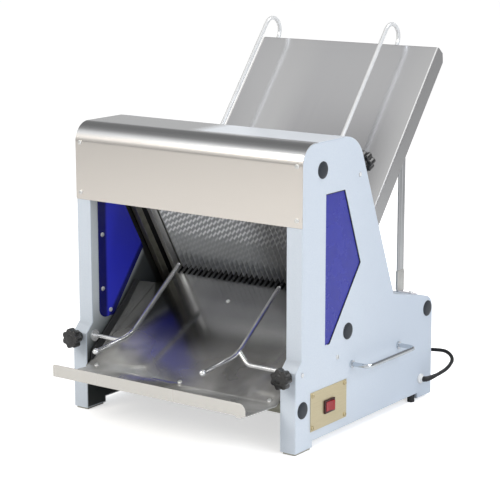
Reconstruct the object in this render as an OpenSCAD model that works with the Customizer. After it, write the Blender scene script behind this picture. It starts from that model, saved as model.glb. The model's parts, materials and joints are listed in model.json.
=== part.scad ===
// Countertop bread slicer: two interleaved blade frames between sheet metal side housings.
// Millimetres, +Z up, machine front towards -Y, floor at Z = 0.

/* [Body] */
// Width across both side housings
body_w = 500; // [480:1:540]
// Thickness of one side housing
side_t = 32; // [30:1:36]
// Height of the side housings
body_h = 535; // [525:1:550]
// Depth from the upper front face to the back of the rear box
body_d = 442; // [436:1:460]
// Painted sheet thickness
skin = 2; // [1.5:0.1:2.5]
// How far the lower legs step forward
leg_step = 18; // [14:1:24]
// Lower edge of the stainless front cover
cover_low = 395; // [385:1:405]
// Stainless cover thickness
cover_t = 1.2; // [1:0.1:2]

/* [Blades] */
// Number of blades in the front frame, the rear frame has one less
blade_n = 16; // [12:1:16]
// Slice thickness
blade_pitch = 12; // [10:0.5:12]
// Blade thickness
blade_t = 0.8; // [0.6:0.1:1]
// Blade width
blade_w = 13; // [11:0.5:14]
// Length of one tooth wave
tooth_pitch = 12; // [8:1:16]
// Depth of the tooth wave
tooth_h = 2.2; // [1:0.1:3]
// Tilt of the blades from upright
blade_tilt = 30.5; // [29:0.5:32]

/* [Trays] */
// Stainless sheet thickness of both trays
tray_t = 1.5; // [1:0.1:2]
// Height of the outfeed lip
lip_h = 21; // [15:1:30]
// How far the outfeed floor reaches in front of the upper front face
lip_out = 115.4; // [100:0.2:130]
// Width of the infeed tray
infeed_w = 406; // [396:1:410]
// Depth of the infeed flanges
flange_h = 34; // [25:1:38]
// Slope of the infeed tray
infeed_slope = 51.3; // [50.5:0.1:52]

/* [Guides] */
// Diameter of the guide rods and their stems
rod_d = 8; // [7:0.5:9]
// Distance of the left infeed guide from the outside of its housing
infeed_left_in = 77; // [70:1:100]
// Side position of the right infeed guide
infeed_right_x = 106; // [90:1:180]
// Height of the infeed guide rods over the tray
infeed_rod_h = 44; // [38:1:50]
// Side position of the left outfeed guide
outfeed_left_x = 129; // [110:1:150]
// Side position of the right outfeed guide
outfeed_right_x = 110; // [100:1:150]
// Star knob diameter
knob_d = 38; // [34:1:44]

/* [Cord] */
// Cord diameter
cord_d = 7; // [6:0.5:7.5]
// Number of loops in the coil
coil_loops = 5; // [4:1:5]

/* [Hidden] */
$fn = 48;
run = 0.05;
gap = 0.3;
half_w = body_w / 2;
wall_x = half_w - side_t;
inner_w = 2 * wall_x;

// Side outline, as depth and height, running anticlockwise, with the corner radii beside it.
pad_h = 4;
panel_low = 15;
foot_end = 34;
tab_start = body_d - 51;
tab_low = 5;
box_front = [body_d - 142, 226.5];
box_back_z = 194.5;
box_fall = (box_front[1] - box_back_z) / (body_d - box_front[0]);
slope_run = 0.4095;
top_back = box_front[0] - (body_h - box_front[1]) * slope_run;
slope_ang = atan(slope_run);
function slope_y(z) = box_front[0] - (z - box_front[1]) * slope_run;

// Blade pack: its own frame has Y across the blades, Z up along them, zero at the comb.
pack_y = body_d - 210;
pack_z = 238;

// Outfeed tray: its slope falls from the comb to the bend, and the lip, guides and leg step follow the bend.
bend_y = -25;
comb_len = (pack_y - bend_y) / cos(blade_tilt);
bend_z = pack_z - comb_len * sin(blade_tilt);
lip_y = -lip_out;
lip_z = bend_z + 3.8;
lip_r = [0, 0, 13, 4];
tray_side = 4;
outfeed_w = inner_w - 2 * tray_side;
stem_out = [2, bend_z + 54];
fork_y = 3;
fork_z = bend_z + 67;
fork_bend = 25;
fork_low = [-94.5, bend_z + 57.5];
fork_rise = 36.5;
fork_arm_left = 178;
fork_arm_right = 161;
fork_ball = 6;
fork_weld = 10;
step_low = bend_z + 60.4;
step_high = step_low + leg_step;
side_pts = [
    [-leg_step, pad_h],
    [foot_end, pad_h],
    [foot_end, panel_low],
    [tab_start, panel_low],
    [tab_start, tab_low],
    [body_d, tab_low],
    [body_d, box_back_z],
    box_front,
    [top_back, body_h],
    [0, body_h],
    [0, step_high],
    [-leg_step, step_low]
];
side_r = [0, 0, 0, 0, 0, 4, 25, 0, 60, 35, 0, 0];
top_r = side_r[9];
cover_back = top_back - 43.7;

// Blade frames, with as many blades as fit between their side bars.
side_bar_in = 26.5;
side_bar_x = wall_x - side_bar_in;
side_bar_t = 9;
blade_side = 11;
blade_front_n = min(blade_n, floor((side_bar_x - blade_side) / blade_pitch) + 1);
blade_rear_n = blade_front_n - 1;
pack_half = (blade_front_n - 1) * blade_pitch;
bar_h = 24;
bar_in = 9;
bar_out = 29;
bar_low_u = -50;
side_bar_n0 = 2;
side_bar_n1 = 16;
rail_gap = 1.5;
rail_x1 = wall_x - rail_gap;
rail_x0 = rail_x1 - 11.5;
rail_n0 = 23;
rail_n1 = 37;
rail_u0 = -94;
rail_block = 14;
rail_block_n = rail_n1 + 7;
rail_front = 62;
rail_roof = 50.6;
rail_u1 = min((pack_y - rail_front - rail_block_n * cos(blade_tilt)) / sin(blade_tilt),
    (body_h - rail_roof - pack_z - rail_block_n * sin(blade_tilt)) / cos(blade_tilt)) - rail_block;
bar_under = 41;
bar_top_u = rail_u1 - bar_under;
shoe_wall = 6;
shoe_x0 = rail_x0 - 7;
shoe_x1 = wall_x - 2.5;
slot_depth = 10;
tab_end = 6;
comb_slot = 3;
comb_reach = 14;
notch_back = 58;
notch_x = side_bar_x - 2;

// Drive
shaft_u = -150;
shaft_d = 20;
crank_r = 10;
crank_disc_d = 48;
crank_disc_t = 12;
crank_pin_d = 12;
crank_pin_l = 10;
crank_x = 112;
rod_t = 10;
rod_x = crank_x + crank_disc_t + crank_pin_l + gap;
wrist_d = 10;
wrist_n = 20;
wrist_u = -75;
lug_t = 10;
lug_w = 18;
lug_under = 10;
lug_x = rod_x + rod_t + gap;
shaft_y = pack_y - shaft_u * sin(blade_tilt);
shaft_z = pack_z + shaft_u * cos(blade_tilt);
base_z = 18;
base_t = 3;
base_top = base_z + base_t;
base_y0 = pack_y - 37;
motor_y = shaft_y + 74;
motor_z = shaft_z - 27;
motor_d = 96;
motor_x0 = 32;
motor_l = 138;
motor_shaft_d = 14;
pulley_w = 18;
pulley_big = 100;
pulley_small = 40;
belt_w = 8;
belt_t = 5;
belt_in = 6.6;
groove_w = 9;
groove_d = 7;
bearing_x = 84;
bearing_t = 18;
bearing_r = 20;
bearing_foot = 12;
foot_t = 8;
motor_cap = 14;
motor_cap_in = 5;
motor_foot_in = 20;
motor_foot_w = 40;
terminal_w = 44;
terminal_l = 54;
terminal_h = 18;

// Infeed tray: its own frame has Y up the slope and Z off the sheet, zero at the top edge.
feed_run = 294.6;
feed_rise = 419;
feed_y = pack_y + feed_run;
feed_z = pack_z + feed_rise;
feed_n = 10;
feed_lean = infeed_slope - blade_tilt;
comb_s = (pack_y - feed_y) * cos(infeed_slope) + (pack_z - feed_z) * sin(infeed_slope);
comb_h = (pack_z - feed_z) * cos(infeed_slope) - (pack_y - feed_y) * sin(infeed_slope);
feed_low = feed_n / cos(feed_lean) + comb_s - comb_h * tan(feed_lean);
feed_clear = 6;
feed_wide = (feed_clear + slope_y(feed_z) - feed_y) / (cos(infeed_slope) + slope_run * sin(infeed_slope));
flange_low = feed_wide + 15;
flange_cut = 12;
stem_in_z = body_h - 71;
stem_in = [slope_y(stem_in_z) - 23.74, stem_in_z];
stem_in_s = (stem_in[0] - feed_y) * cos(infeed_slope) + (stem_in[1] - feed_z) * sin(infeed_slope);
stem_in_h = (stem_in[1] - feed_z) * cos(infeed_slope) - (stem_in[0] - feed_y) * sin(infeed_slope);
rod_end = 0.4;
arm_less = 0.5;
hook_r = 26;
hook_s = 3;
hook_tail = 16;
guide_low = -430;

// Fittings
bush_d = 16;
bush_flange_d = 22;
bush_flange_t = 4.5;
stem_over = 0.5;
stud_d = 6;
knob_hub = 13;
knob_t = 16;
lobe_n = 7;
plug_d = 30;
plug_rim = 1.5;
plug_dome = 1.5;
plug_chamfer = 3;
plug_hole = plug_d / 2 - 2;
plug_pts = [[60, body_h - 48], [144, 189], [body_d - 19, 175], [2.5, bend_z - 8.6]];
win_front = 72;
win_low = 178;
win_top = body_h - 92;
win_nose = [86, win_low];
win_back_z = 306;
win_back = [slope_y(win_back_z) - 83.4, win_back_z];
win_run = 0.387;
win_margin = 7;
guard_t = 1.5;
guard_front = 20;
guard_low = bend_z + 82;
guard_high = body_h - 105;
guard_nose = 60;
guard_lean = 0.778;
guard_n = 48;
guard_r = [18, 12, 0, 0, 0];
guard_screw = [
    [guard_front + 10, guard_low + 157.5],
    [guard_front + 9, guard_low + 55.5],
    [guard_front + 30, guard_low + 11.5]
];
cover_screw_z = [for (z = [cover_low + 13 : 92 : body_h - top_r]) z];
cover_screw_in = 11;
screw_head_r = 4.2;
screw_head_h = 2.4;
screw_r = 2;
plate_y = 26;
plate_z = 33;
plate_w = 114;
plate_h = 70;
plate_t = 1.5;
plate_screw_in = 6;
plate_screw_y = [plate_y + plate_screw_in, plate_y + plate_w - plate_screw_in];
plate_screw_z = [plate_z + plate_screw_in, plate_z + plate_h - plate_screw_in];
rocker_y = plate_y + plate_w / 2;
rocker_z = plate_z + plate_h / 2;
bezel_w = 32;
bezel_h = 24;
bezel_t = 3;
switch_w = 29;
switch_h = 21;
switch_d = 20;
rocker_tilt = 8;
handle_l = 160;
handle_back = 124;
handle_y1 = body_d - handle_back;
handle_y0 = handle_y1 - handle_l;
handle_z = 126;
handle_out = 36;
handle_d = 8;
handle_r = 12;
strut_y = body_d - 49;
strut_w = 22;
strut_t = 2.5;
strut_foot = 7;
side_screw = [110.6, 149];
tie_top_c = [60, body_h - 48];
tie_w = 20;

// Cord
gland_y = body_d - 42;
gland_z = 42.5;
gland_rim = 4;
gland_nose = 4;
gland_r = 9.5;
gland_hole = 7;
cord_sides = 10;
coil_sides = 6;
coil_r = 38;
coil_c = [90, 486];
coil_pitch = 7.8;
coil_low = 5;
coil_top = coil_low + coil_loops * coil_pitch;
coil_rings = 24;
tail_l = 52;
tail_rise = 5;
tail_rings = 5;
plug_r = 9.5;
mains_neck = 14;
mains_body = 26;
mains_pin = 18;
cord_start = half_w - 8;
route_in = [
    [cord_start, gland_y, gland_z],
    [half_w + 6, gland_y, gland_z],
    [half_w + 13, gland_y + 2, gland_z + 0.5],
    [half_w + 18, gland_y + 12, gland_z + 2],
    [half_w + 24, gland_y + 30, gland_z + 6],
    [half_w + 28, gland_y + 50, gland_z + 11],
    [half_w + 27, gland_y + 68, gland_z + 16],
    [half_w + 22, gland_y + 85, gland_z + 21],
    [half_w + 10, gland_y + 100, gland_z + 25],
    [half_w - 6, gland_y + 109, gland_z + 28],
    [half_w - 22, gland_y + 110, gland_z + 28]
];
route_out = [
    [205, 509, 68],
    [180, 509, 63],
    [150, 513, coil_top + 11],
    [120, 520, coil_top + 4],
    [coil_c[0] + 9, coil_c[1] + coil_r - 1, coil_top + 0.6],
    [coil_c[0], coil_c[1] + coil_r, coil_top]
];
route = concat(route_in, route_out);

// Corner of an outline moved inwards by t, with its two edge directions.
function unit(v) = v / norm(v);
function along(p, i) = unit(p[(i + 1) % len(p)] - p[i]);
function before(p, i) = unit(p[i] - p[(i + len(p) - 1) % len(p)]);
function left(a) = [-a[1], a[0]];
function inward(p, i, t) =
    let (a = left(before(p, i)), b = left(along(p, i)))
    p[i] + t * (a + b) / (1 + a * b);
function half_turn(p, i) =
    let (a = before(p, i), b = along(p, i))
    atan2(a[0] * b[1] - a[1] * b[0], a * b) / 2;
function corner(p, i, t, r) =
    let (q = inward(p, i, t), l = (r - t) * tan(half_turn(p, i)))
    r > max(t, 0) ? [q - before(p, i) * l, q + along(p, i) * l] : [q];
function outline(p, t) = [for (i = [0 : len(p) - 1]) inward(p, i, t)];

module rounded(p, r, t = 0) {
    polygon([for (i = [0 : len(p) - 1]) each corner(p, i, t, r[i])]);
    for (i = [0 : len(p) - 1])
        if (r[i] > max(t, 0)) translate(inward(p, i, r[i])) circle(r = r[i] - t, $fn = 96);
}

module side_shape(t = 0) {
    rounded(side_pts, side_r, t);
}

// Opening in the outer side: behind its front edge, over its slanted lower edge and in front of the slope.
win_wedge = [
    win_back + 2 * (win_nose - win_back),
    win_back,
    win_back + (body_h - win_back_z) * [-win_run, 1],
    [-body_d, body_h],
    [-body_d, (win_back + 2 * (win_nose - win_back))[1]]
];
module win_shape(t = 0) {
    intersection() {
        polygon(outline(win_wedge, -t));
        translate([win_front - t, win_low - t]) square([body_d, win_top - win_low + 2 * t]);
    }
}

// Plate inside the mouth: its back edge runs along the rails.
function pack_front(z) = pack_y - guard_n / cos(blade_tilt) - (z - pack_z) * tan(blade_tilt);
guard_back_z = guard_low + (pack_front(guard_low) - guard_nose) / (guard_lean + tan(blade_tilt));
guard_pts = [
    [guard_front, guard_low],
    [guard_nose, guard_low],
    [pack_front(guard_back_z), guard_back_z],
    [pack_front(guard_high), guard_high],
    [guard_front, guard_high]
];

// Extrudes a depth and height shape from x0 to x1.
module across(x0, x1) {
    translate([x0, 0, 0]) rotate([90, 0, 90]) linear_extrude(x1 - x0) children();
}

module pin_x(x0, x1, y, z, r) {
    translate([x0, y, z]) rotate([0, 90, 0]) cylinder(h = x1 - x0, r = r);
}

module span(a, b, r) {
    d = b - a;
    translate(a)
        rotate([0, acos(d[2] / norm(d)), atan2(d[1], d[0])]) cylinder(h = norm(d), r = r);
}

module block(x0, x1, y0, y1, z0, z1) {
    translate([x0, y0, z0]) cube([x1 - x0, y1 - y0, z1 - z0]);
}

module both() {
    children();
    mirror([1, 0, 0]) children();
}

// Moves the whole object so that the middle of its footprint is the origin.
back_y = feed_y - flange_cut * cos(infeed_slope) + flange_h * sin(infeed_slope);
mid_y = (back_y - lip_out) / 2;
module placed() {
    translate([0, -mid_y, 0]) children();
}

module pack() {
    translate([0, pack_y, pack_z]) rotate([blade_tilt, 0, 0]) children();
}

module feed() {
    translate([0, feed_y, feed_z]) rotate([infeed_slope, 0, 0]) children();
}

// Where the rear star knob sits on the rear slope: its axis passes through the infeed stem.
slope_n = [cos(slope_ang), sin(slope_ang)];
stem_in_depth = (box_front - stem_in) * slope_n;
module rear_knob_seat() {
    translate([half_w - side_t / 2, stem_in[0], stem_in[1]])
        rotate([slope_ang - 90, 0, 0]) translate([0, 0, stem_in_depth]) children();
}

module front_knob_seat() {
    translate([half_w - side_t / 2, -leg_step, stem_out[1]]) rotate([90, 0, 0]) children();
}

stem_out_depth = stem_out[0] + leg_step;

function box_top(y) = box_front[1] - (y - box_front[0]) * box_fall;

// Seat of the screw through a strut foot, on the falling top of the rear box.
strut_mid = strut_y + strut_w / 2;
strut_screw_in = 25;
module strut_seat() {
    translate([half_w - strut_screw_in, strut_mid, box_top(strut_mid)])
        rotate([-atan(box_fall), 0, 0]) children();
}

module housing() {
    difference() {
        across(wall_x, half_w) side_shape();
        across(wall_x - 1, half_w - skin) side_shape(skin);
        across(half_w - skin - 1, half_w + 1) win_shape();
        for (p = plug_pts) pin_x(half_w - skin - 1, half_w + 1, p[0], p[1], plug_hole);
        for (p = [stem_in, stem_out]) pin_x(half_w - skin - 1, half_w + 1, p[0], p[1], rod_d / 2 + 0.5);
        rear_knob_seat() translate([0, 0, -2 * skin]) cylinder(h = 4 * skin, r = stud_d / 2 + run);
        front_knob_seat() translate([0, 0, -2 * skin]) cylinder(h = 4 * skin, r = stud_d / 2 + run);
        for (z = cover_screw_z)
            translate([half_w - cover_screw_in, skin + 1, z])
                rotate([90, 0, 0]) cylinder(h = skin + 2, r = screw_r);
        pin_x(half_w - skin - 1, half_w + 1, side_screw[0], side_screw[1], screw_r);
        strut_seat() translate([0, 0, -2 * skin]) cylinder(h = 4 * skin, r = screw_r);
    }
}

module wall() {
    difference() {
        across(wall_x, wall_x + skin) side_shape(skin);
        for (p = [stem_in, stem_out]) pin_x(wall_x - 1, wall_x + skin + 1, p[0], p[1], bush_d / 2 + run);
        for (p = guard_screw) pin_x(wall_x - 1, wall_x + skin + 1, p[0], p[1], screw_r);
    }
}

module window() {
    across(half_w - skin - guard_t, half_w - skin) win_shape(win_margin);
}

module guard() {
    difference() {
        across(wall_x - guard_t, wall_x) rounded(guard_pts, guard_r);
        for (p = guard_screw) pin_x(wall_x - guard_t - 1, wall_x + 1, p[0], p[1], screw_r);
    }
}

module housing_right() {
    color("#ccd8e4") placed() difference() {
        housing();
        block(half_w - skin - 1, half_w + 1, rocker_y - switch_w / 2, rocker_y + switch_w / 2,
            rocker_z - switch_h / 2, rocker_z + switch_h / 2);
        pin_x(half_w - skin - 1, half_w + 1, gland_y, gland_z, gland_hole);
    }
}

module housing_left() {
    color("#ccd8e4") placed() mirror([1, 0, 0]) housing();
}

module wall_right() {
    color("#d3dbde") placed() wall();
}

module wall_left() {
    color("#d3dbde") placed() mirror([1, 0, 0]) wall();
}

module window_right() {
    color("#5055a5") placed() window();
}

module window_left() {
    color("#5055a5") placed() mirror([1, 0, 0]) window();
}

module guard_right() {
    color("#2f2e9a") placed() guard();
}

module guard_left() {
    color("#2f2e9a") placed() mirror([1, 0, 0]) guard();
}

module cover() {
    color("#d8d4ce") placed() difference() {
        union() {
            across(-half_w, half_w) intersection() {
                difference() {
                    side_shape(-cover_t);
                    side_shape();
                }
                translate([-2 * cover_t, cover_low]) square([cover_back + 2 * cover_t, body_h]);
            }
            block(-wall_x, wall_x, -cover_t, 14, cover_low, cover_low + cover_t);
        }
        both() for (z = cover_screw_z)
            translate([half_w - cover_screw_in, 1, z])
                rotate([90, 0, 0]) cylinder(h = cover_t + 2, r = screw_r);
    }
}

module tie_top() {
    color("#8d9196") placed() block(-wall_x, wall_x, tie_top_c[0] - 15, tie_top_c[0] + 15,
        tie_top_c[1] - tie_w / 2, tie_top_c[1] + tie_w / 2);
}

// Screws that hold the outfeed tray on its two ties, as side position and place along the slope.
tie_front_n = 4 - comb_len;
tie_slope_n = -77;
tray_screw_x = outfeed_w / 2 - 19;
tray_screw_n = tie_front_n + 5;
tray_screws = [
    [-tray_screw_x, tray_screw_n],
    [0, tray_screw_n],
    [tray_screw_x, tray_screw_n],
    [-28, tie_slope_n]
];
tray_screw_l = 11;
module tray_screw_holes() {
    pack() for (p = tray_screws)
        translate([p[0], p[1], -tray_screw_l - 1]) cylinder(h = tray_screw_l + 3, r = screw_r);
}

module tie_front() {
    color("#8d9196") placed() difference() {
        pack() block(-wall_x, wall_x, tie_front_n, tie_front_n + tie_w, -tray_t - tie_w, -tray_t);
        tray_screw_holes();
    }
}

module tie_slope() {
    color("#8d9196") placed() difference() {
        pack() block(-wall_x, wall_x, tie_slope_n - tie_w / 2, tie_slope_n + tie_w / 2,
            -tray_t - tie_w, -tray_t);
        tray_screw_holes();
    }
}

module base() {
    color("#9a9fa4") placed() block(-wall_x, wall_x, base_y0, body_d - skin, base_z, base_top);
}

// Sheet between the housings that follows their outline.
module outline_sheet(y0, y1, z0, z1) {
    across(-wall_x, wall_x) intersection() {
        difference() {
            side_shape();
            side_shape(skin);
        }
        translate([y0, z0]) square([y1 - y0, z1 - z0]);
    }
}

module rear_cover() {
    color("#ccd8e4") placed() outline_sheet(box_front[0], body_d + 1, base_z, box_front[1] + 1);
}

rear_guard_h = 63.5;
rear_guard_z = box_front[1] + rear_guard_h;
module rear_guard() {
    color("#ccd8e4") placed() outline_sheet(slope_y(rear_guard_z) - 2 * skin, box_front[0] + 2 * skin,
        box_front[1] + skin, rear_guard_z);
}

module outfeed_tray() {
    color("#8f8f90") placed() difference() {
        union() {
            pack() block(-outfeed_w / 2, outfeed_w / 2, -comb_len, comb_reach, -tray_t, 0);
            across(-outfeed_w / 2, outfeed_w / 2) polygon([
                [lip_y, lip_z],
                [lip_y, lip_z - tray_t],
                [bend_y + tray_t * sin(blade_tilt), bend_z - tray_t],
                [bend_y + 2, bend_z + 2 * tan(blade_tilt)],
                [bend_y, bend_z]
            ]);
            translate([0, lip_y + tray_t, 0]) rotate([90, 0, 0]) linear_extrude(tray_t) rounded([
                [-outfeed_w / 2, lip_z - tray_t],
                [outfeed_w / 2, lip_z - tray_t],
                [outfeed_w / 2, lip_z + lip_h],
                [-outfeed_w / 2, lip_z + lip_h]
            ], lip_r);
        }
        pack() both() block(notch_x, outfeed_w, -notch_back, comb_reach + 1, -tray_t - 1, 1);
        pack() for (x = [-pack_half : blade_pitch : pack_half])
            block(x - comb_slot / 2, x + comb_slot / 2, -blade_w / 2 - 1, comb_reach + 1, -tray_t - 1, 1);
        tray_screw_holes();
    }
}

tongue_x = notch_x - 4;
module infeed_tray() {
    color("#a2a2a4") placed() feed() {
        block(-infeed_w / 2, infeed_w / 2, feed_wide, 0, -tray_t, 0);
        block(-tongue_x, tongue_x, feed_low, feed_wide + 1, -tray_t, 0);
        both() across(infeed_w / 2 - tray_t, infeed_w / 2) polygon([
            [flange_low, 0],
            [flange_low, -flange_h],
            [-flange_cut, -flange_h],
            [0, flange_cut - flange_h],
            [0, 0]
        ]);
    }
}

bracket_s = feed_low + 33.3;
bracket_t = 3;
bracket_h = 28.5;
bracket_lap = 15;
module tray_brackets() {
    color("#8d9196") placed() feed() both() {
        block(tongue_x - bracket_lap, wall_x, bracket_s, bracket_s + tie_w, -tray_t - bracket_t, -tray_t);
        block(wall_x - bracket_t, wall_x, bracket_s, bracket_s + tie_w, -tray_t - bracket_h, -tray_t);
    }
}

strut_x1 = infeed_w / 2 - tray_t;
strut_x0 = strut_x1 - strut_t;
strut_foot_x0 = min(strut_x0, half_w - strut_screw_in - strut_foot);
strut_foot_x1 = max(strut_x1, half_w - strut_screw_in + strut_foot);
strut_clear = 12;
function feed_sheet_z(y) = feed_z + (y - feed_y) * tan(infeed_slope);
module struts() {
    color("#a9abad") placed() both() difference() {
        union() {
            across(strut_x0, strut_x1) polygon([
                [strut_y, box_top(strut_y)],
                [strut_y + strut_w, box_top(strut_y + strut_w)],
                [strut_y + strut_w, feed_sheet_z(strut_y + strut_w) - strut_clear],
                [strut_y, feed_sheet_z(strut_y) - strut_clear]
            ]);
            across(strut_foot_x0, strut_foot_x1) polygon([
                [strut_y, box_top(strut_y)],
                [strut_y + strut_w, box_top(strut_y + strut_w)],
                [strut_y + strut_w, box_top(strut_y + strut_w) + strut_t],
                [strut_y, box_top(strut_y) + strut_t]
            ]);
        }
        strut_seat() translate([0, 0, -1]) cylinder(h = strut_t + 2, r = screw_r);
    }
}

// Side position of one blade of a frame: every second place of the comb.
function blade_x(i, count) = (2 * i - count + 1) * blade_pitch;

// One blade frame, drawn as the front one: bars on the -Y side, its lug on the left.
module frame(count) {
    difference() {
        union() {
            for (u = [bar_top_u, bar_low_u])
                block(-side_bar_x - side_bar_t, side_bar_x + side_bar_t, -bar_out, -bar_in,
                    u - bar_h / 2, u + bar_h / 2);
            both() block(side_bar_x, side_bar_x + side_bar_t, -side_bar_n1, -side_bar_n0,
                bar_low_u - bar_h / 2, bar_top_u + bar_h / 2);
            for (u = [bar_top_u, bar_low_u]) both() difference() {
                block(shoe_x0, shoe_x1, -rail_n1 - shoe_wall, -rail_n0 + shoe_wall,
                    u - bar_h / 2, u + bar_h / 2);
                block(rail_x0 - gap, wall_x, -rail_n1 - gap, -rail_n0 + gap, u - bar_h, u + bar_h);
            }
            block(-lug_x - lug_t, -lug_x, -wrist_n - lug_w / 2, -wrist_n + lug_w / 2,
                wrist_u - lug_under, bar_low_u);
            pin_x(-lug_x - 1, -rod_x + gap, -wrist_n, wrist_u, wrist_d / 2);
        }
        for (i = [0 : count - 1])
            block(blade_x(i, count) - blade_t / 2 - run, blade_x(i, count) + blade_t / 2 + run,
                -bar_in - slot_depth, 0, bar_low_u - bar_h, bar_top_u + bar_h);
    }
}

module frame_front() {
    color("#b9bcbf") placed() pack() frame(blade_front_n);
}

module frame_rear() {
    color("#a9acb0") placed() pack() rotate([0, 0, 180]) frame(blade_rear_n);
}

// Outline of one blade: hooked ends on the side given, tooth waves on the side that meets the loaf.
blade_top = bar_top_u + bar_h / 2 - 3;
blade_low = bar_low_u - bar_h / 2 + 3;
tab_h = bar_h - tab_end;
teeth_u = bar_low_u + bar_h;
teeth_n = floor((bar_top_u - bar_low_u - 2 * bar_h) / tooth_pitch);
module blade(hook) {
    w = blade_w / 2;
    polygon(concat(
        [[-w, blade_low], [w, blade_low]],
        [for (i = [0 : teeth_n - 1]) each [
            [w - tooth_h, teeth_u + (i + 0.1) * tooth_pitch],
            [w, teeth_u + (i + 0.6) * tooth_pitch]
        ]],
        [[w, blade_top], [-w, blade_top]]
    ));
    for (u = [blade_low, blade_top - tab_h])
        translate([hook > 0 ? 0 : -bar_in - slot_depth, u]) square([bar_in + slot_depth, tab_h]);
}

module blades(count, hook) {
    for (i = [0 : count - 1])
        across(blade_x(i, count) - blade_t / 2, blade_x(i, count) + blade_t / 2) blade(hook);
}

module blades_front() {
    color("#c9cccf") placed() pack() blades(blade_front_n, -1);
}

module blades_rear() {
    color("#c9cccf") placed() pack() blades(blade_rear_n, 1);
}

module rails() {
    pack() for (k = [-1, 1])
        block(rail_x0, rail_x1, k > 0 ? rail_n0 : -rail_n1, k > 0 ? rail_n1 : -rail_n0, rail_u0, rail_u1);
}

module rails_right() {
    color("#8f8d86") placed() rails();
}

module rails_left() {
    color("#8f8d86") placed() mirror([1, 0, 0]) rails();
}

module rail_blocks() {
    color("#4a4d52") placed() both() pack() for (u = [rail_u0 - rail_block, rail_u1])
        block(rail_x0 - 2, wall_x, -rail_block_n, rail_block_n, u, u + rail_block);
}

module crankshaft() {
    color("#9ca0a5") placed() pack() translate([0, 0, shaft_u]) {
        pin_x(-crank_x - 1, crank_x + 1, 0, 0, shaft_d / 2);
        for (k = [-1, 1]) {
            pin_x(k > 0 ? crank_x : -crank_x - crank_disc_t, k > 0 ? crank_x + crank_disc_t : -crank_x,
                0, 0, crank_disc_d / 2);
            pin_x(k > 0 ? crank_x + crank_disc_t - 1 : gap - rod_x,
                k > 0 ? rod_x - gap : 1 - crank_x - crank_disc_t,
                k * crank_r, 0, crank_pin_d / 2);
        }
    }
}

module pulley(d, bore) {
    rotate([0, 90, 0]) rotate_extrude() polygon([
        [bore / 2, -pulley_w / 2],
        [d / 2, -pulley_w / 2],
        [d / 2, -groove_w / 2],
        [d / 2 - groove_d, -groove_w / 2],
        [d / 2 - groove_d, groove_w / 2],
        [d / 2, groove_w / 2],
        [d / 2, pulley_w / 2],
        [bore / 2, pulley_w / 2]
    ]);
}

module pulley_main() {
    color("#55585c") placed() translate([0, shaft_y, shaft_z]) pulley(pulley_big, shaft_d);
}

module pulley_motor() {
    color("#55585c") placed() translate([0, motor_y, motor_z]) pulley(pulley_small, motor_shaft_d);
}

// The belt's loop as flat runs and short straights round both pulleys.
belt_c = [motor_y - shaft_y, motor_z - shaft_z];
belt_dir = atan2(belt_c[1], belt_c[0]);
belt_wrap = acos((pulley_big - pulley_small) / 2 / norm(belt_c));
belt_step = 32;
function belt_arc(c, r, from, to) =
    [for (i = [0 : belt_step]) let (a = from + (to - from) * i / belt_step) c + r * [cos(a), sin(a)]];
module belt_loop(t) {
    big = pulley_big / 2 - belt_in + t;
    small = pulley_small / 2 - belt_in + t;
    translate([shaft_y, shaft_z]) polygon(concat(
        belt_arc([0, 0], big, belt_dir + belt_wrap, belt_dir + 360 - belt_wrap),
        belt_arc(belt_c, small, belt_dir - belt_wrap, belt_dir + belt_wrap)
    ));
}

module belt() {
    color("#222426") placed() across(-belt_w / 2, belt_w / 2) difference() {
        belt_loop(belt_t);
        belt_loop(0);
    }
}

module bearings() {
    color("#6d7378") placed() both() difference() {
        union() {
            block(bearing_x, bearing_x + bearing_t, shaft_y - bearing_r, shaft_y + bearing_r,
                base_top, shaft_z);
            pin_x(bearing_x, bearing_x + bearing_t, shaft_y, shaft_z, bearing_r);
            block(bearing_x - 4, bearing_x + bearing_t + 4, shaft_y - bearing_r - bearing_foot,
                shaft_y + bearing_r + bearing_foot, base_top, base_top + foot_t);
        }
        pin_x(bearing_x - 1, bearing_x + bearing_t + 1, shaft_y, shaft_z, shaft_d / 2 + run);
    }
}

motor_seat = 22;
motor_x1 = motor_x0 + motor_l;
motor_mid = (motor_x0 + motor_x1) / 2;
module motor() {
    color("#4d5a66") placed() difference() {
        union() {
            pin_x(motor_x0 + motor_cap, motor_x1 - motor_cap, motor_y, motor_z, motor_d / 2);
            pin_x(motor_x0, motor_x1, motor_y, motor_z, motor_d / 2 - motor_cap_in);
            block(motor_x0 + motor_foot_in, motor_x1 - motor_foot_in, motor_y - motor_foot_w,
                motor_y + motor_foot_w, base_top, base_top + foot_t);
            block(motor_x0 + motor_foot_in + 4, motor_x1 - motor_foot_in - 4, motor_y - motor_foot_w / 2,
                motor_y + motor_foot_w / 2, base_top, motor_z);
            block(motor_mid - terminal_l / 2, motor_mid + terminal_l / 2, motor_y - terminal_w / 2,
                motor_y + terminal_w / 2, motor_z, motor_z + motor_d / 2 + terminal_h);
        }
        pin_x(motor_x0 - 1, motor_x0 + motor_seat + gap, motor_y, motor_z, motor_shaft_d / 2 + run);
    }
}

module motor_shaft() {
    color("#9ca0a5") placed()
        pin_x(-pulley_w / 2 - 2, motor_x0 + motor_seat, motor_y, motor_z, motor_shaft_d / 2);
}

// Connecting rod as the front one: small eye on the frame's pin, big eye beside the crank pin.
eye_small = 11;
eye_big = 15;
rod_web = 7;
module conrod() {
    a = [-wrist_n, wrist_u];
    b = [-crank_r, shaft_u];
    w = left(unit(b - a)) * rod_web;
    across(-rod_x - rod_t, -rod_x) difference() {
        union() {
            translate(a) circle(r = eye_small);
            translate(b) circle(r = eye_big);
            polygon([a - w, b - w, b + w, a + w]);
        }
        translate(a) circle(r = wrist_d / 2 + run);
        translate(b) circle(r = crank_pin_d / 2 + run);
    }
}

module conrod_front() {
    color("#7b8086") placed() pack() conrod();
}

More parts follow.
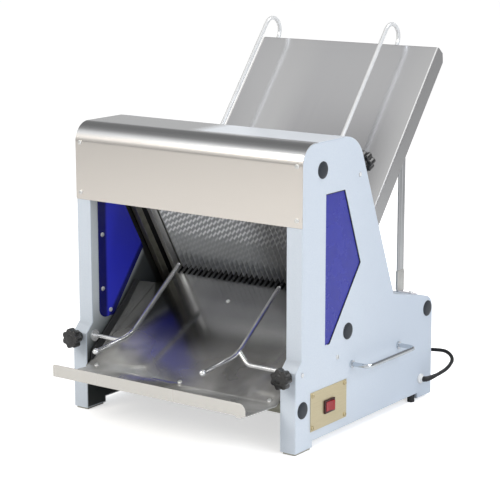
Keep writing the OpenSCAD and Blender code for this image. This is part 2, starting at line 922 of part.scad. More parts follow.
module conrod_rear() {
    color("#7b8086") placed() pack() mirror([0, 1, 0]) mirror([1, 0, 0]) conrod();
}

// Infeed guide for the right side: rod along the tray, hook over its top edge, arm and stem.
module infeed_guide(x) {
    r = rod_d / 2;
    feed() translate([x, 0, 0]) {
        span([0, guide_low, infeed_rod_h], [0, hook_s, infeed_rod_h], r);
        translate([0, guide_low, infeed_rod_h]) sphere(r = r + rod_end);
        translate([0, hook_s, infeed_rod_h - hook_r]) rotate([90, 0, 90]) rotate([0, 0, -90])
            rotate_extrude(angle = 180) translate([hook_r, 0]) circle(r = r, $fn = 32);
        span([0, hook_s, infeed_rod_h - 2 * hook_r], [0, hook_s - hook_tail, infeed_rod_h - 2 * hook_r], r);
        translate([0, hook_s - hook_tail, infeed_rod_h - 2 * hook_r]) sphere(r = r + rod_end);
        span([0, stem_in_s, infeed_rod_h], [0, stem_in_s, stem_in_h], r - arm_less);
        translate([0, stem_in_s, stem_in_h]) rotate([0, 90, 0]) sphere(r = r + rod_end);
    }
    pin_x(x, half_w + stem_over, stem_in[0], stem_in[1], r);
}

module infeed_guide_right() {
    color("#c8cacc") placed() infeed_guide(infeed_right_x);
}

module infeed_guide_left() {
    color("#c8cacc") placed() mirror([1, 0, 0]) infeed_guide(half_w - infeed_left_in);
}

module bush(p, loose) {
    difference() {
        union() {
            pin_x(wall_x - bush_flange_t - loose, half_w - skin - loose, p[0], p[1], bush_d / 2);
            pin_x(wall_x - bush_flange_t - loose, wall_x - loose, p[0], p[1], bush_flange_d / 2);
        }
        pin_x(wall_x - bush_flange_t - 2, half_w, p[0], p[1], rod_d / 2 + run);
    }
}

module infeed_bushes() {
    color("#3a3d40") placed() both() bush(stem_in, 0);
}

module outfeed_bush_right() {
    color("#b9bcbf") placed() bush(stem_out, gap);
}

module outfeed_bush_left() {
    color("#b9bcbf") placed() mirror([1, 0, 0]) bush(stem_out, gap);
}

// Outfeed fork for the right side: stem, rising bend and the two arms of the guide.
module outfeed_fork(x, arm) {
    r = rod_d / 2;
    j = [x, fork_y, fork_z];
    up = [0, cos(fork_rise), sin(fork_rise)];
    k = [x + fork_bend, stem_out[0], stem_out[1]];
    pin_x(k[0], half_w + stem_over, k[1], k[2], r);
    translate(k) rotate([0, 90, 0]) sphere(r = r + rod_end);
    span(k, j + fork_weld * up, r - arm_less);
    translate(j) sphere(r = r + rod_end);
    span(j, [x, fork_low[0], fork_low[1]], r);
    translate([x, fork_low[0], fork_low[1]]) sphere(r = fork_ball);
    span(j, j + arm * up, r);
    translate(j + arm * up) sphere(r = r + rod_end);
}

module outfeed_fork_right() {
    color("#c8cacc") placed() outfeed_fork(outfeed_right_x, fork_arm_right);
}

module outfeed_fork_left() {
    color("#c8cacc") placed() mirror([1, 0, 0]) outfeed_fork(outfeed_left_x, fork_arm_left);
}

// Star knob standing on z = 0, its stud reaching down to just clear of the bush.
module knob(depth) {
    lobe = knob_d * 0.14;
    core = knob_d * 0.38;
    reach = depth - bush_d / 2 - gap;
    translate([0, 0, -reach]) cylinder(h = reach + knob_hub, r = stud_d / 2, $fn = 32);
    translate([0, 0, gap]) cylinder(h = knob_hub, r1 = knob_d * 0.2, r2 = knob_d * 0.27);
    translate([0, 0, knob_hub]) {
        linear_extrude(knob_t) {
            circle(r = core);
            for (i = [0 : lobe_n - 1])
                rotate(i * 360 / lobe_n) translate([knob_d / 2 - lobe, 0]) circle(r = lobe, $fn = 24);
        }
        translate([0, 0, knob_t]) cylinder(h = 2, r1 = core, r2 = knob_d * 0.22);
    }
}

module knob_front_right() {
    color("#26282b") placed() front_knob_seat() knob(stem_out_depth);
}

module knob_front_left() {
    color("#26282b") placed() mirror([1, 0, 0]) front_knob_seat() knob(stem_out_depth);
}

module knob_rear_right() {
    color("#26282b") placed() rear_knob_seat() knob(stem_in_depth);
}

module knob_rear_left() {
    color("#26282b") placed() mirror([1, 0, 0]) rear_knob_seat() knob(stem_in_depth);
}

module handle() {
    r = handle_d / 2;
    x = half_w + handle_out;
    for (k = [[handle_y0, 1], [handle_y1, -1]]) {
        pin_x(half_w, x - handle_r, k[0], handle_z, r);
        pin_x(half_w, half_w + 3, k[0], handle_z, r + 3);
        translate([x - handle_r, k[0] + k[1] * handle_r, handle_z])
            rotate([0, 0, k[1] > 0 ? -90 : 0])
                rotate_extrude(angle = 90) translate([handle_r, 0]) circle(r = r, $fn = 32);
    }
    translate([x, handle_y0 + handle_r, handle_z])
        rotate([-90, 0, 0]) cylinder(h = handle_y1 - handle_y0 - 2 * handle_r, r = r);
}

module handle_right() {
    color("#c8cacc") placed() handle();
}

module handle_left() {
    color("#c8cacc") placed() mirror([1, 0, 0]) handle();
}

module switch_plate() {
    color("#c3b491") placed() difference() {
        block(half_w, half_w + plate_t, plate_y, plate_y + plate_w, plate_z, plate_z + plate_h);
        block(half_w - 1, half_w + plate_t + 1, rocker_y - switch_w / 2, rocker_y + switch_w / 2,
            rocker_z - switch_h / 2, rocker_z + switch_h / 2);
        for (y = plate_screw_y, z = plate_screw_z)
            pin_x(half_w - 1, half_w + plate_t + 1, y, z, screw_r);
    }
}

well_w = 26;
well_h = 18;
well_d = 14;
bezel_x = half_w + plate_t;
module switch_body() {
    color("#5a1518") placed() difference() {
        union() {
            block(bezel_x, bezel_x + bezel_t, rocker_y - bezel_w / 2, rocker_y + bezel_w / 2,
                rocker_z - bezel_h / 2, rocker_z + bezel_h / 2);
            block(bezel_x - switch_d, bezel_x + 1, rocker_y - switch_w / 2, rocker_y + switch_w / 2,
            rocker_z - switch_h / 2, rocker_z + switch_h / 2);
        }
        block(bezel_x + bezel_t - well_d, bezel_x + bezel_t + 1, rocker_y - well_w / 2, rocker_y + well_w / 2,
            rocker_z - well_h / 2, rocker_z + well_h / 2);
    }
}

rocker_clear = 1.4;
rocker_l = well_w / 2 - rocker_clear;
module rocker() {
    color("#c8232c") placed() translate([bezel_x - 3, rocker_y, rocker_z - well_h / 2 + gap])
        rotate([0, 0, -rocker_tilt]) linear_extrude(well_h - 2 * gap) polygon([
            [-2, -rocker_l + 2],
            [5, -rocker_l],
            [8.5, -rocker_l],
            [6.5, 0],
            [8.5, rocker_l],
            [5, rocker_l],
            [-2, rocker_l - 2]
        ]);
}

module plugs() {
    for (p = plug_pts) {
        pin_x(half_w, half_w + plug_rim, p[0], p[1], plug_d / 2);
        translate([half_w + plug_rim, p[0], p[1]]) rotate([0, 90, 0])
            cylinder(h = plug_dome, r1 = plug_d / 2, r2 = plug_d / 2 - plug_chamfer);
        pin_x(half_w - 3 * skin, half_w + plug_rim / 2, p[0], p[1], plug_hole);
    }
}

module plugs_right() {
    color("#3c444e") placed() plugs();
}

module plugs_left() {
    color("#3c444e") placed() mirror([1, 0, 0]) plugs();
}

rear_foot_y = tab_start - 9;
rear_foot_in = 8;
rear_foot_r = 7;
module feet() {
    color("#2b2d30") placed() both() {
        block(wall_x + 3, half_w - 3, 3 - leg_step, foot_end - 3, 0, pad_h);
        translate([half_w - rear_foot_in, rear_foot_y, 0]) cylinder(h = panel_low, r = rear_foot_r);
    }
}

// Pan head screw standing on z = 0 with its shank below.
module screw(l) {
    translate([0, 0, -l]) cylinder(h = l + 1, r = screw_r, $fn = 24);
    cylinder(h = screw_head_h * 0.6, r = screw_head_r, $fn = 32);
    translate([0, 0, screw_head_h * 0.6])
        cylinder(h = screw_head_h * 0.4, r1 = screw_head_r, r2 = screw_head_r * 0.7, $fn = 32);
}

module screws() {
    color("#d5d7d9") placed() {
        both() strut_seat() translate([0, 0, strut_t * cos(atan(box_fall))]) screw(strut_t + skin);
        both() translate([half_w, side_screw[0], side_screw[1]]) rotate([0, 90, 0]) screw(skin);
        both() for (z = cover_screw_z)
            translate([half_w - cover_screw_in, -cover_t, z]) rotate([90, 0, 0]) screw(cover_t + skin + 1);
        both() for (p = guard_screw)
            translate([wall_x - guard_t, p[0], p[1]]) rotate([0, -90, 0]) screw(guard_t + skin);
        pack() for (p = tray_screws) translate([p[0], p[1], 0]) screw(tray_screw_l);
        for (y = plate_screw_y, z = plate_screw_z)
            translate([half_w + plate_t, y, z]) rotate([0, 90, 0]) screw(plate_t);
    }
}

module gland() {
    color("#dfe1e2") placed() difference() {
        union() {
            pin_x(half_w, half_w + gland_rim, gland_y, gland_z, gland_r);
            pin_x(half_w - 3 * skin, half_w + gland_rim / 2, gland_y, gland_z, gland_hole);
            translate([half_w + gland_rim, gland_y, gland_z]) rotate([0, 90, 0])
                cylinder(h = gland_nose, r1 = gland_hole - 1, r2 = cord_d / 2 + 2);
        }
        pin_x(half_w - 5 * skin, half_w + gland_rim + gland_nose + 1, gland_y, gland_z, cord_d / 2 + run);
    }
}

// A tube swept along points, one ring at each, its start facing the first stretch.
function tangent(p, i) = unit(p[min(i + 1, len(p) - 1)] - p[max(i - 1, 0)]);
function side_of(d) = unit(cross(d, abs(d[2]) > 0.9 ? [1, 0, 0] : [0, 0, 1]));
module tube(p, r, n) {
    rings = [for (i = [0 : len(p) - 1])
        let (d = tangent(p, i), s = side_of(d), u = cross(s, d))
        for (k = [0 : n - 1]) p[i] + r * (cos(k * 360 / n) * s + sin(k * 360 / n) * u)];
    faces = concat(
        [[for (k = [0 : n - 1]) k]],
        [for (i = [0 : len(p) - 2], k = [0 : n - 1])
            [i * n + k, (i + 1) * n + k, (i + 1) * n + (k + 1) % n, i * n + (k + 1) % n]],
        [[for (k = [n - 1 : -1 : 0]) (len(p) - 1) * n + k]]
    );
    polyhedron(rings, faces, convexity = 6);
}

// Points between the chosen ones, so that the cord bends evenly.
function between(a, b, c, d, t) =
    0.5 * (2 * b + (c - a) * t + (2 * a - 5 * b + 4 * c - d) * t * t + (3 * b - a - 3 * c + d) * t * t * t);
function smooth(p) = concat(
    [for (i = [0 : len(p) - 2], t = [0, 0.5])
        between(p[max(i - 1, 0)], p[i], p[i + 1], p[min(i + 2, len(p) - 1)], t)],
    [p[len(p) - 1]]
);
function path_len(p) = len(p) < 2 ? 0 : norm(p[1] - p[0]) + path_len([for (i = [1 : len(p) - 1]) p[i]]);

cord_path = smooth(route);
coil_path = concat(
    [for (i = [0 : coil_loops * coil_rings])
        let (a = 90 + i * 360 / coil_rings)
        [coil_c[0] + coil_r * cos(a), coil_c[1] + coil_r * sin(a), coil_top - coil_pitch * i / coil_rings]],
    [for (i = [1 : tail_rings])
        [coil_c[0] - tail_l * i / tail_rings, coil_c[1] + coil_r, coil_low + tail_rise * i / tail_rings]]
);
tail_end = coil_path[len(coil_path) - 1];

module cord() {
    color("#1d1e20") placed() tube(cord_path, cord_d / 2, cord_sides);
}

module cord_coil() {
    color("#1d1e20") placed() tube(coil_path, cord_d / 2, coil_sides);
}

module cord_plug() {
    color("#1d1e20") placed() translate(tail_end) rotate([0, -90, 0]) {
        cylinder(h = mains_neck, r1 = cord_d / 2 + 1.5, r2 = plug_r - 1);
        translate([0, 0, mains_neck]) cylinder(h = mains_body, r = plug_r);
        for (k = [-1, 1])
            translate([0, k * plug_r / 2, mains_neck + mains_body]) cylinder(h = mains_pin, r = 2, $fn = 24);
    }
}

echo(cord_length = path_len(cord_path) + path_len(coil_path), coil_gap = coil_pitch - cord_d);

housing_left();
housing_right();
wall_left();
wall_right();
window_left();
window_right();
guard_left();
guard_right();
cover();
tie_top();
tie_front();
tie_slope();
base();
rear_cover();
rear_guard();
outfeed_tray();
infeed_tray();
tray_brackets();
struts();
frame_front();
frame_rear();
blades_front();
blades_rear();
rails_left();
rails_right();
rail_blocks();
crankshaft();
pulley_main();
pulley_motor();
belt();
bearings();
motor();
motor_shaft();
conrod_front();
conrod_rear();
infeed_guide_left();
infeed_guide_right();
infeed_bushes();
outfeed_bush_left();
outfeed_bush_right();
outfeed_fork_left();
outfeed_fork_right();
knob_front_left();
knob_front_right();
knob_rear_left();
knob_rear_right();
handle_left();
handle_right();
switch_plate();
switch_body();
rocker();
plugs_left();
plugs_right();
feet();
screws();
gland();
cord();
cord_coil();
cord_plug();
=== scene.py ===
"""Looks of a countertop bread slicer: finishes, eased sheet edges, rods and the mains lead."""

import json
import math

import bmesh
import bpy
from mathutils import Matrix, Vector


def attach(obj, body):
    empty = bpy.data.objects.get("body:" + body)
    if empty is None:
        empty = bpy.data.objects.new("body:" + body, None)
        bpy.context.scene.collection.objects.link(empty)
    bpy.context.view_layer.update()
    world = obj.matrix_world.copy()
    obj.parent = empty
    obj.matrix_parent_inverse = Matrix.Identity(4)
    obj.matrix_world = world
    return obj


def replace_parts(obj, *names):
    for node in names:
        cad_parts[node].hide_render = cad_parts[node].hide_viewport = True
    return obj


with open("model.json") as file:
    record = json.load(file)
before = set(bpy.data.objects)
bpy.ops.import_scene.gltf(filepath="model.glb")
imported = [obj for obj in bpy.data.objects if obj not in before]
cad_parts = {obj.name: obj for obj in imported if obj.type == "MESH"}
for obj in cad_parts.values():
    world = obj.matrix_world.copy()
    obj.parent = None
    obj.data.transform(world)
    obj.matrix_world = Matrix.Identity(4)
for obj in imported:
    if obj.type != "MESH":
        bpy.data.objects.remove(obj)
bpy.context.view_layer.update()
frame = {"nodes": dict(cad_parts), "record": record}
nodes = frame["nodes"]
scene = bpy.context.scene
scene.view_settings.view_transform = "Standard"

MM = 0.001
SIDES = (("left", -1), ("right", 1))
RIGHT, BACK, UP = Vector((1, 0, 0)), Vector((0, 1, 0)), Vector((0, 0, 1))
# Depth of the footprint's middle behind the upper front face, in mm
MIDDLE = 215.116
# Outer face of the side housings and the ends of the guide stems, in mm from the middle
HALF, STEM_END = 250, 250.5
# Distance between the blades and length of a blade's tooth, in mm
PITCH, TOOTH = 12, 12


def at(x, y, z):
    """A point given in mm from the upper front face and the counter, as a place in metres."""
    return Vector((x, y - MIDDLE, z)) * MM


def rising(degrees):
    """The way to the back that rises by an angle."""
    lean = math.radians(degrees)
    return Vector((0, math.cos(lean), math.sin(lean)))


slope_back, feed_up, fork_way = rising(30.5), rising(51.3), rising(36.5)
slope_up, feed_off = RIGHT.cross(slope_back), RIGHT.cross(feed_up)


def slope(x, n):
    """A place on the outfeed slope: n back along it from the blades, in mm."""
    return at(x, 232, 238) + slope_back * n * MM


def feed(x, s, h):
    """A place on the infeed tray: s up its slope from the top edge, h off its sheet, in mm."""
    return at(x, 526.6, 657) + (feed_up * s + feed_off * h) * MM


# Camera, at the photograph's place

azimuth, elevation = math.radians(35.71), math.radians(11.88)
cam_back = Vector((
    math.sin(azimuth) * math.cos(elevation),
    -math.cos(azimuth) * math.cos(elevation),
    math.sin(elevation),
))
cam_right = Vector((math.cos(azimuth), math.sin(azimuth), 0))
cam_up = cam_back.cross(cam_right)
camera = bpy.data.objects.new("camera", bpy.data.cameras.new("camera"))
camera.data.lens = 125.67
camera.data.sensor_width = 36
camera.data.clip_end = 60
camera.matrix_world = Matrix.Translation((1.84975, -2.59165, 0.96178)) @ Matrix(
    (cam_right, cam_up, cam_back)
).transposed().to_4x4()
scene.collection.objects.link(camera)
scene.camera = camera


# Finishes


def linear(code):
    """An sRGB hex colour as linear red, green, blue and alpha."""
    parts = [int(code[i:i + 2], 16) / 255 for i in (1, 3, 5)]
    return [c / 12.92 if c <= 0.04045 else ((c + 0.055) / 1.055) ** 2.4 for c in parts] + [1]


def add(tree, kind, inputs=None, stops=(), **settings):
    """Adds a node; inputs holds values or the sockets that feed it, stops a ramp's places and colours,
    settings the node's own properties."""
    made = tree.nodes.new(kind)
    for name, value in settings.items():
        setattr(made, name, value)
    for name, value in (inputs or {}).items():
        if isinstance(value, bpy.types.NodeSocket):
            tree.links.new(value, made.inputs[name])
        else:
            made.inputs[name].default_value = value
    if stops:
        ramp = made.color_ramp.elements
        while len(ramp) < len(stops):
            ramp.new(0.5)
        for element, (where, colour) in zip(ramp, stops):
            element.position = where
            element.color = colour
    return made


def finish(name, tones, rough, grain, bump=0.0, spread=(0.3, 0.7), **sockets):
    """A finish whose colour runs between two tones and whose roughness runs between two values, both over
    one noise; grain is the size in mm of that noise along X, Y and Z, bump its depth in mm."""
    made = bpy.data.materials.new(name)
    made.use_nodes = True
    tree = made.node_tree
    shader = tree.nodes["Principled BSDF"]
    for socket, value in sockets.items():
        shader.inputs[socket.replace("_", " ")].default_value = value
    place = add(tree, "ShaderNodeTexCoord")
    stretch = add(tree, "ShaderNodeMapping", {
        "Vector": place.outputs["Object"],
        "Scale": [1 / (g * MM) for g in grain],
    })
    noise = add(tree, "ShaderNodeTexNoise", {
        "Vector": stretch.outputs["Vector"], "Scale": 1.0, "Detail": 4.0, "Roughness": 0.6,
    })
    low, high = spread
    tone = add(tree, "ShaderNodeValToRGB", {"Fac": noise.outputs["Fac"]},
               stops=[(low, linear(tones[0])), (high, linear(tones[1]))])
    tree.links.new(tone.outputs["Color"], shader.inputs["Base Color"])
    dull = add(tree, "ShaderNodeMapRange", {
        "Value": noise.outputs["Fac"], "From Min": low, "From Max": high,
        "To Min": rough[0], "To Max": rough[1],
    })
    tree.links.new(dull.outputs["Result"], shader.inputs["Roughness"])
    if bump:
        relief = add(tree, "ShaderNodeBump", {
            "Height": noise.outputs["Fac"], "Strength": 1.0, "Distance": bump * MM,
        })
        tree.links.new(relief.outputs["Normal"], shader.inputs["Normal"])
    return made


def band(made, start, way, low, high, ends=(0, 1)):
    """A factor that runs between two ends, from low to high in mm along a way from a starting place."""
    tree = made.node_tree
    place = add(tree, "ShaderNodeTexCoord")
    along = add(tree, "ShaderNodeVectorMath", {0: place.outputs["Object"], 1: way}, operation="DOT_PRODUCT")
    zero = start.dot(way)
    return add(tree, "ShaderNodeMapRange", {
        "Value": along.outputs["Value"], "From Min": zero + low * MM, "From Max": zero + high * MM,
        "To Min": ends[0], "To Max": ends[1],
    }, interpolation_type="SMOOTHSTEP").outputs["Result"]


def across(made, stops):
    """A factor that runs through stops from the left to the right of the machine, each a place in mm and a
    value."""
    tree = made.node_tree
    place = add(tree, "ShaderNodeTexCoord")
    split = add(tree, "ShaderNodeSeparateXYZ", {"Vector": place.outputs["Object"]})
    part = add(tree, "ShaderNodeMapRange", {
        "Value": split.outputs["X"], "From Min": -HALF * MM, "From Max": HALF * MM})
    return add(tree, "ShaderNodeValToRGB", {"Fac": part.outputs["Result"]}, stops=[
        (where / (2 * HALF) + 0.5, (value, value, value, 1)) for where, value in stops]).outputs["Color"]


def product(made, factors):
    """One factor out of several."""
    whole = factors[0]
    for other in factors[1:]:
        whole = add(made.node_tree, "ShaderNodeMath", {0: whole, 1: other}, operation="MULTIPLY").outputs[0]
    return whole


def overlay(made, colour, *factors):
    """Lays another colour over a finish by the product of the factors."""
    base = made.node_tree.nodes["Principled BSDF"].inputs["Base Color"]
    # 6, 7 and 2 are the colours' sockets of this node
    mix = add(made.node_tree, "ShaderNodeMix", {
        "Factor": product(made, factors), 6: base.links[0].from_socket, 7: linear(colour)}, data_type="RGBA")
    made.node_tree.links.new(mix.outputs[2], base)


def matt(made, *factors):
    """Takes metal from a finish by the product of the factors, where it is worn matt."""
    less = add(made.node_tree, "ShaderNodeMath", {0: 1.0, 1: product(made, factors)}, operation="SUBTRACT")
    made.node_tree.links.new(less.outputs[0], made.node_tree.nodes["Principled BSDF"].inputs["Metallic"])


# Where the finishes are measured from: the counter below the upper front face, the blades on the slope,
# the top edge of the infeed tray, the front of the lip
front_foot, blade_line, feed_edge, lip_front = at(0, 0, 0), slope(0, 0), feed(0, 0, 0), at(0, -115, 0)
# Across the lower back edge of the blue sheet inside the mouth, toward the sheet
rim_way = Vector((0, -0.782, 0.623))


def smears(made):
    """How strongly a cloth left its marks, in soft streaks of about 90 mm, and evenly on the lip."""
    tree = made.node_tree
    place = add(tree, "ShaderNodeTexCoord")
    cloth = add(tree, "ShaderNodeTexNoise", {
        "Vector": place.outputs["Object"], "Scale": 1 / (90 * MM), "Detail": 2.5, "Distortion": 0.35})
    smear = add(tree, "ShaderNodeMapRange", {
        "Value": cloth.outputs["Fac"], "From Min": 0.36, "From Max": 0.64, "To Min": 0.7, "To Max": 1.5})
    return add(tree, "ShaderNodeMix", {
        "Factor": band(made, lip_front, BACK, 1, 6), "A": 0.75, "B": smear.outputs["Result"],
    }).outputs["Result"]


def comb_slots(made):
    """1 between the teeth of the comb, one slot for each blade, else 0."""
    tree = made.node_tree
    place = add(tree, "ShaderNodeTexCoord")
    split = add(tree, "ShaderNodeSeparateXYZ", {"Vector": place.outputs["Object"]})
    off_blade = add(tree, "ShaderNodeMath", {0: split.outputs["X"], 1: PITCH / 2 * MM}, operation="PINGPONG")
    return add(tree, "ShaderNodeMapRange", {
        "Value": off_blade.outputs[0], "From Min": 2.4 * MM, "From Max": 3.2 * MM,
        "To Min": 1.0, "To Max": 0.0,
    }).outputs["Result"]


def scallops(made):
    """1 on each tooth of the blades' edges, else 0; the blades by turns are half a tooth apart."""
    tree = made.node_tree
    place = add(tree, "ShaderNodeTexCoord")
    teeth_way = (slope_up / TOOTH + RIGHT / (2 * PITCH)) * 2 * math.pi / MM
    teeth = add(tree, "ShaderNodeVectorMath", {
        0: place.outputs["Object"], 1: teeth_way}, operation="DOT_PRODUCT")
    ripple = add(tree, "ShaderNodeMath", {0: teeth.outputs["Value"]}, operation="SINE")
    return add(tree, "ShaderNodeMapRange", {
        "Value": ripple.outputs[0], "From Min": -0.3, "From Max": 0.8}).outputs["Result"]


# Powder coat on steel: pale blue grey, satin, with a faint orange peel
powder_coat = finish("powder_coated_steel", ("#d2dce8", "#d9e2ec"), (0.36, 0.44), (2.2, 2.2, 2.2),
                     bump=0.008, Specular_IOR_Level=0.45)
# painted shade: a little deeper toward the back
overlay(powder_coat, "#bfcbda", band(powder_coat, front_foot, BACK, 60, 400, (0, 0.6)))
# The same coat inside the mouth, a little greener where it is thin
wall_coat = finish("powder_coated_wall", ("#d3dbde", "#dbe2e4"), (0.38, 0.46), (2.2, 2.2, 2.2), bump=0.02)
# painted shade: darker toward the slope, below the lower back edge of the blue sheet and from the rails back,
# and black below the tray
overlay(wall_coat, "#2a2e2d", band(wall_coat, blade_line, slope_up, 0, 95, (0.95, 0)))
overlay(wall_coat, "#2c3133", band(wall_coat, at(0, 113, 228), rim_way, -10, 10, (0.92, 0)))
overlay(wall_coat, "#0d0e0e", band(wall_coat, blade_line, slope_back, -54, -48))
overlay(wall_coat, "#141617", band(wall_coat, front_foot, UP, 92, 98, (1, 0)))
overlay(wall_coat, "#3c4142", band(wall_coat, front_foot, UP, 50, 66, (1, 0)))
# Blue enamel on thin sheet, smooth and fairly glossy
blue_enamel = finish("blue_enamel_sheet", ("#2b309a", "#3136a4"), (0.24, 0.3), (40, 40, 40))
# The same blue as tinted acrylic inside the mouth, with painted shade at the rim and painted light in its
# middle, where light comes through the cut-out
blue_acrylic = finish("blue_tinted_acrylic", ("#181a66", "#1c1e70"), (0.16, 0.22), (40, 40, 40))
overlay(blue_acrylic, "#3a40e0", band(blue_acrylic, front_foot, BACK, 37, 45),
        band(blue_acrylic, at(0, 62.4, 190.7), rim_way, -4, 4))
# Stainless sheet with a long satin grain across the machine; drawn coarser than the real grain
hood_steel = finish("satin_stainless_hood", ("#d6d7d9", "#dedfe0"), (0.2, 0.26), (160, 0.6, 0.6),
                    Metallic=1.0)
# painted reflection: warm and pale on the front; pale and matt on the right of the top
overlay(hood_steel, "#ebe6e0", band(hood_steel, front_foot, BACK, 0, 4, (1, 0)))
pale_matt_top = (across(hood_steel, [(-250, 0), (-25, 0), (12, 1), (250, 1)]),
          band(hood_steel, front_foot, BACK, 34, 50))
overlay(hood_steel, "#eef4fc", *pale_matt_top)
matt(hood_steel, *pale_matt_top, 0.9)
# Stainless sheet with its grain up the slope; drawn coarser than the real grain
infeed_steel = finish("satin_stainless_infeed", ("#c9c9cb", "#d2d2d4"), (0.11, 0.17), (0.7, 160, 160),
                      Metallic=1.0)
# painted light toward its top edge, and painted shade low on the right, where the loaves come to the blades
overlay(infeed_steel, "#f4f4f6", band(infeed_steel, feed_edge, feed_up, -300, -20, (0, 0.9)))
overlay(infeed_steel, "#8f8f91", across(infeed_steel, [(-250, 0), (-90, 0), (120, 0.8), (250, 0.8)]),
        band(infeed_steel, feed_edge, feed_up, -330, -120, (1, 0)))
# painted reflections: bright beside the left guide and along the right edge
overlay(infeed_steel, "#ffffff", across(infeed_steel, [
    (-200, 0.1), (-125, 0.5), (-95, 0.5), (-40, 0.06), (150, 0.1), (196, 0.6)]))
# painted shade on the flanges' outer faces, and painted highlights on their folds
overlay(infeed_steel, "#828386", across(infeed_steel, [(-203, 0.6), (-202.7, 0), (202.7, 0), (203, 0.6)]))
painted_fold_highlight = across(infeed_steel, [
    (-203, 0), (-202.6, 1), (-201, 1), (-200, 0), (200, 0), (201, 1), (202.6, 1), (203, 0)])
overlay(infeed_steel, "#ffffff", painted_fold_highlight)
matt(infeed_steel, painted_fold_highlight, 0.85)
# Flat bar of the struts, drawn lengthways: soft bright streaks
strut_steel = finish("drawn_stainless_strut", ("#96989b", "#dcdee0"), (0.3, 0.4), (2.6, 2.6, 240),
                     Metallic=1.0)
# its bent feet pale and matt
bent_foot = across(strut_steel, [(-204, 1), (-203, 0), (203, 0), (204, 1)])
overlay(strut_steel, "#efebea", bent_foot)
matt(strut_steel, bent_foot, 0.85)
# Stainless worn bright by bread, with wiped smears
slope_steel = finish("polished_stainless_slope", ("#bcbcbb", "#c6c6c3"), (0.12, 0.2), (110, 150, 150),
                     spread=(0.25, 0.75))
# duller where it is wiped at the front, most of all on the left; painted shade in its middle and higher up
# from the middle to the right, where it mirrors the blades
wiped = across(slope_steel, [(-200, 0.58), (-150, 0.56), (-110, 0.36), (-50, 0.22), (0, 0.24), (65, 0.36),
                             (120, 0.44), (200, 0.48)])
matt(slope_steel, wiped, smears(slope_steel), band(slope_steel, blade_line, slope_back, -290, -125, (1, 0)))
shaded = across(slope_steel, [(-200, 0.1), (-160, 0.3), (-125, 0.8), (-50, 0.8), (10, 0.3), (70, 0)])
overlay(slope_steel, "#828284", shaded, band(slope_steel, blade_line, slope_back, -225, -185))
overlay(slope_steel, "#7c7c7e", across(slope_steel, [(-110, 0), (-60, 0.7), (10, 0.9), (200, 0.8)]),
        band(slope_steel, blade_line, slope_back, -165, -105))
# painted shade between the comb's teeth, and painted light on the lip's front
overlay(slope_steel, "#101010", comb_slots(slope_steel), band(slope_steel, blade_line, slope_back, -26, -22))
overlay(slope_steel, "#dcdad5", band(slope_steel, lip_front, BACK, 1.4, 2.4, (1, 0)))
# Milled flat bar with fine cutter marks
bar_steel = finish("milled_steel_bar", ("#97968a", "#adac9f"), (0.34, 0.46), (1.2, 12, 12),
                   bump=0.01, Metallic=1.0)
# The blade frames, ground and wiped bright
frame_steel = finish("ground_frame_steel", ("#c3c3c0", "#d2d2cf"), (0.34, 0.44), (2, 14, 14), Metallic=0.85)
# Blade strip, ground bright
blade_steel = finish("ground_blade_steel", ("#a2a4a5", "#b3b5b5"), (0.28, 0.4), (3, 1.2, 6),
                     bump=0.01, Metallic=0.15)
# painted highlights on each scallop, most in the upper half, and painted shade on the right, where the housing
# shades it
overlay(blade_steel, "#ffffff", scallops(blade_steel),
        band(blade_steel, blade_line, slope_up, 74, 96, (0.15, 1)))
overlay(blade_steel, "#6e6c68", across(blade_steel, [(-180, 0), (0, 0), (60, 0.6), (180, 0.8)]))
# Chrome plate on round rod, nearly a mirror
chrome = finish("chrome_plated_rod", ("#e6e8ea", "#f0f1f2"), (0.12, 0.18), (20, 20, 20), Metallic=0.8)
# The same plate over a duller ground, pale, on the rods that aren't polished by bread
satin_chrome = finish("satin_chrome_rod", ("#eceef0", "#f4f5f6"), (0.14, 0.2), (20, 20, 20), Metallic=0.3)
# The plate of the handles, polished, with a bluish cast
handle_chrome = finish("polished_chrome_handle", ("#c3c9d0", "#d2d7dc"), (0.07, 0.11), (20, 20, 20),
                       Metallic=1.0)
# Zinc plated screws, those of the switch plate passivated yellow
zinc = finish("zinc_plated_screw", ("#e0e1e0", "#ecedec"), (0.26, 0.38), (1.5, 1.5, 1.5), Metallic=0.8)
overlay(zinc, "#cfc19c", across(zinc, [(248.5, 0), (249.5, 1)]),
        band(zinc, front_foot, UP, 110, 130, (1, 0)))
# Compression moulded phenolic: black, deep gloss
phenolic = finish("moulded_phenolic", ("#1b1b1c", "#262627"), (0.24, 0.34), (4, 4, 4), bump=0.01,
                  Coat_Weight=0.3, Coat_Roughness=0.16)
# Injection moulded polyethylene caps, dark slate, soft sheen
cap_plastic = finish("moulded_polyethylene_cap", ("#20262e", "#2a313a"), (0.38, 0.48), (3, 3, 3), bump=0.01)
# Brass sheet, brushed lengthways; drawn coarser than the real grain
brass = finish("brushed_brass_plate", ("#cabd9a", "#d5c9a8"), (0.3, 0.4), (40, 30, 0.8), Metallic=0.7)
# Red polycarbonate rocker, clear and glossy
rocker_red = finish("red_polycarbonate", ("#96101a", "#a81722"), (0.14, 0.22), (5, 5, 5),
                    Coat_Weight=0.4, Coat_Roughness=0.1)
# Dark red nylon bezel, moulded with a soft sheen
bezel_red = finish("dark_red_nylon", ("#35090d", "#430d11"), (0.3, 0.4), (3, 3, 3), bump=0.01)
# White nylon cord gland, moulded with a soft sheen
gland_nylon = finish("white_nylon", ("#e4e6e7", "#eff0f0"), (0.35, 0.45), (4, 4, 4), bump=0.01)
# Black PVC sheath of the mains lead, satin with a slight unevenness
sheath = finish("black_pvc_sheath", ("#121315", "#1c1d1f"), (0.4, 0.52), (3, 3, 3), bump=0.03)
# Black rubber of the belt, dull; the same black stands in as painted shade in the slope's trims and the
# window's beads
rubber_and_painted_shade = finish("black_rubber_and_painted_shade", ("#1f2022", "#2b2c2e"), (0.6, 0.75), (2, 2, 2), bump=0.05)
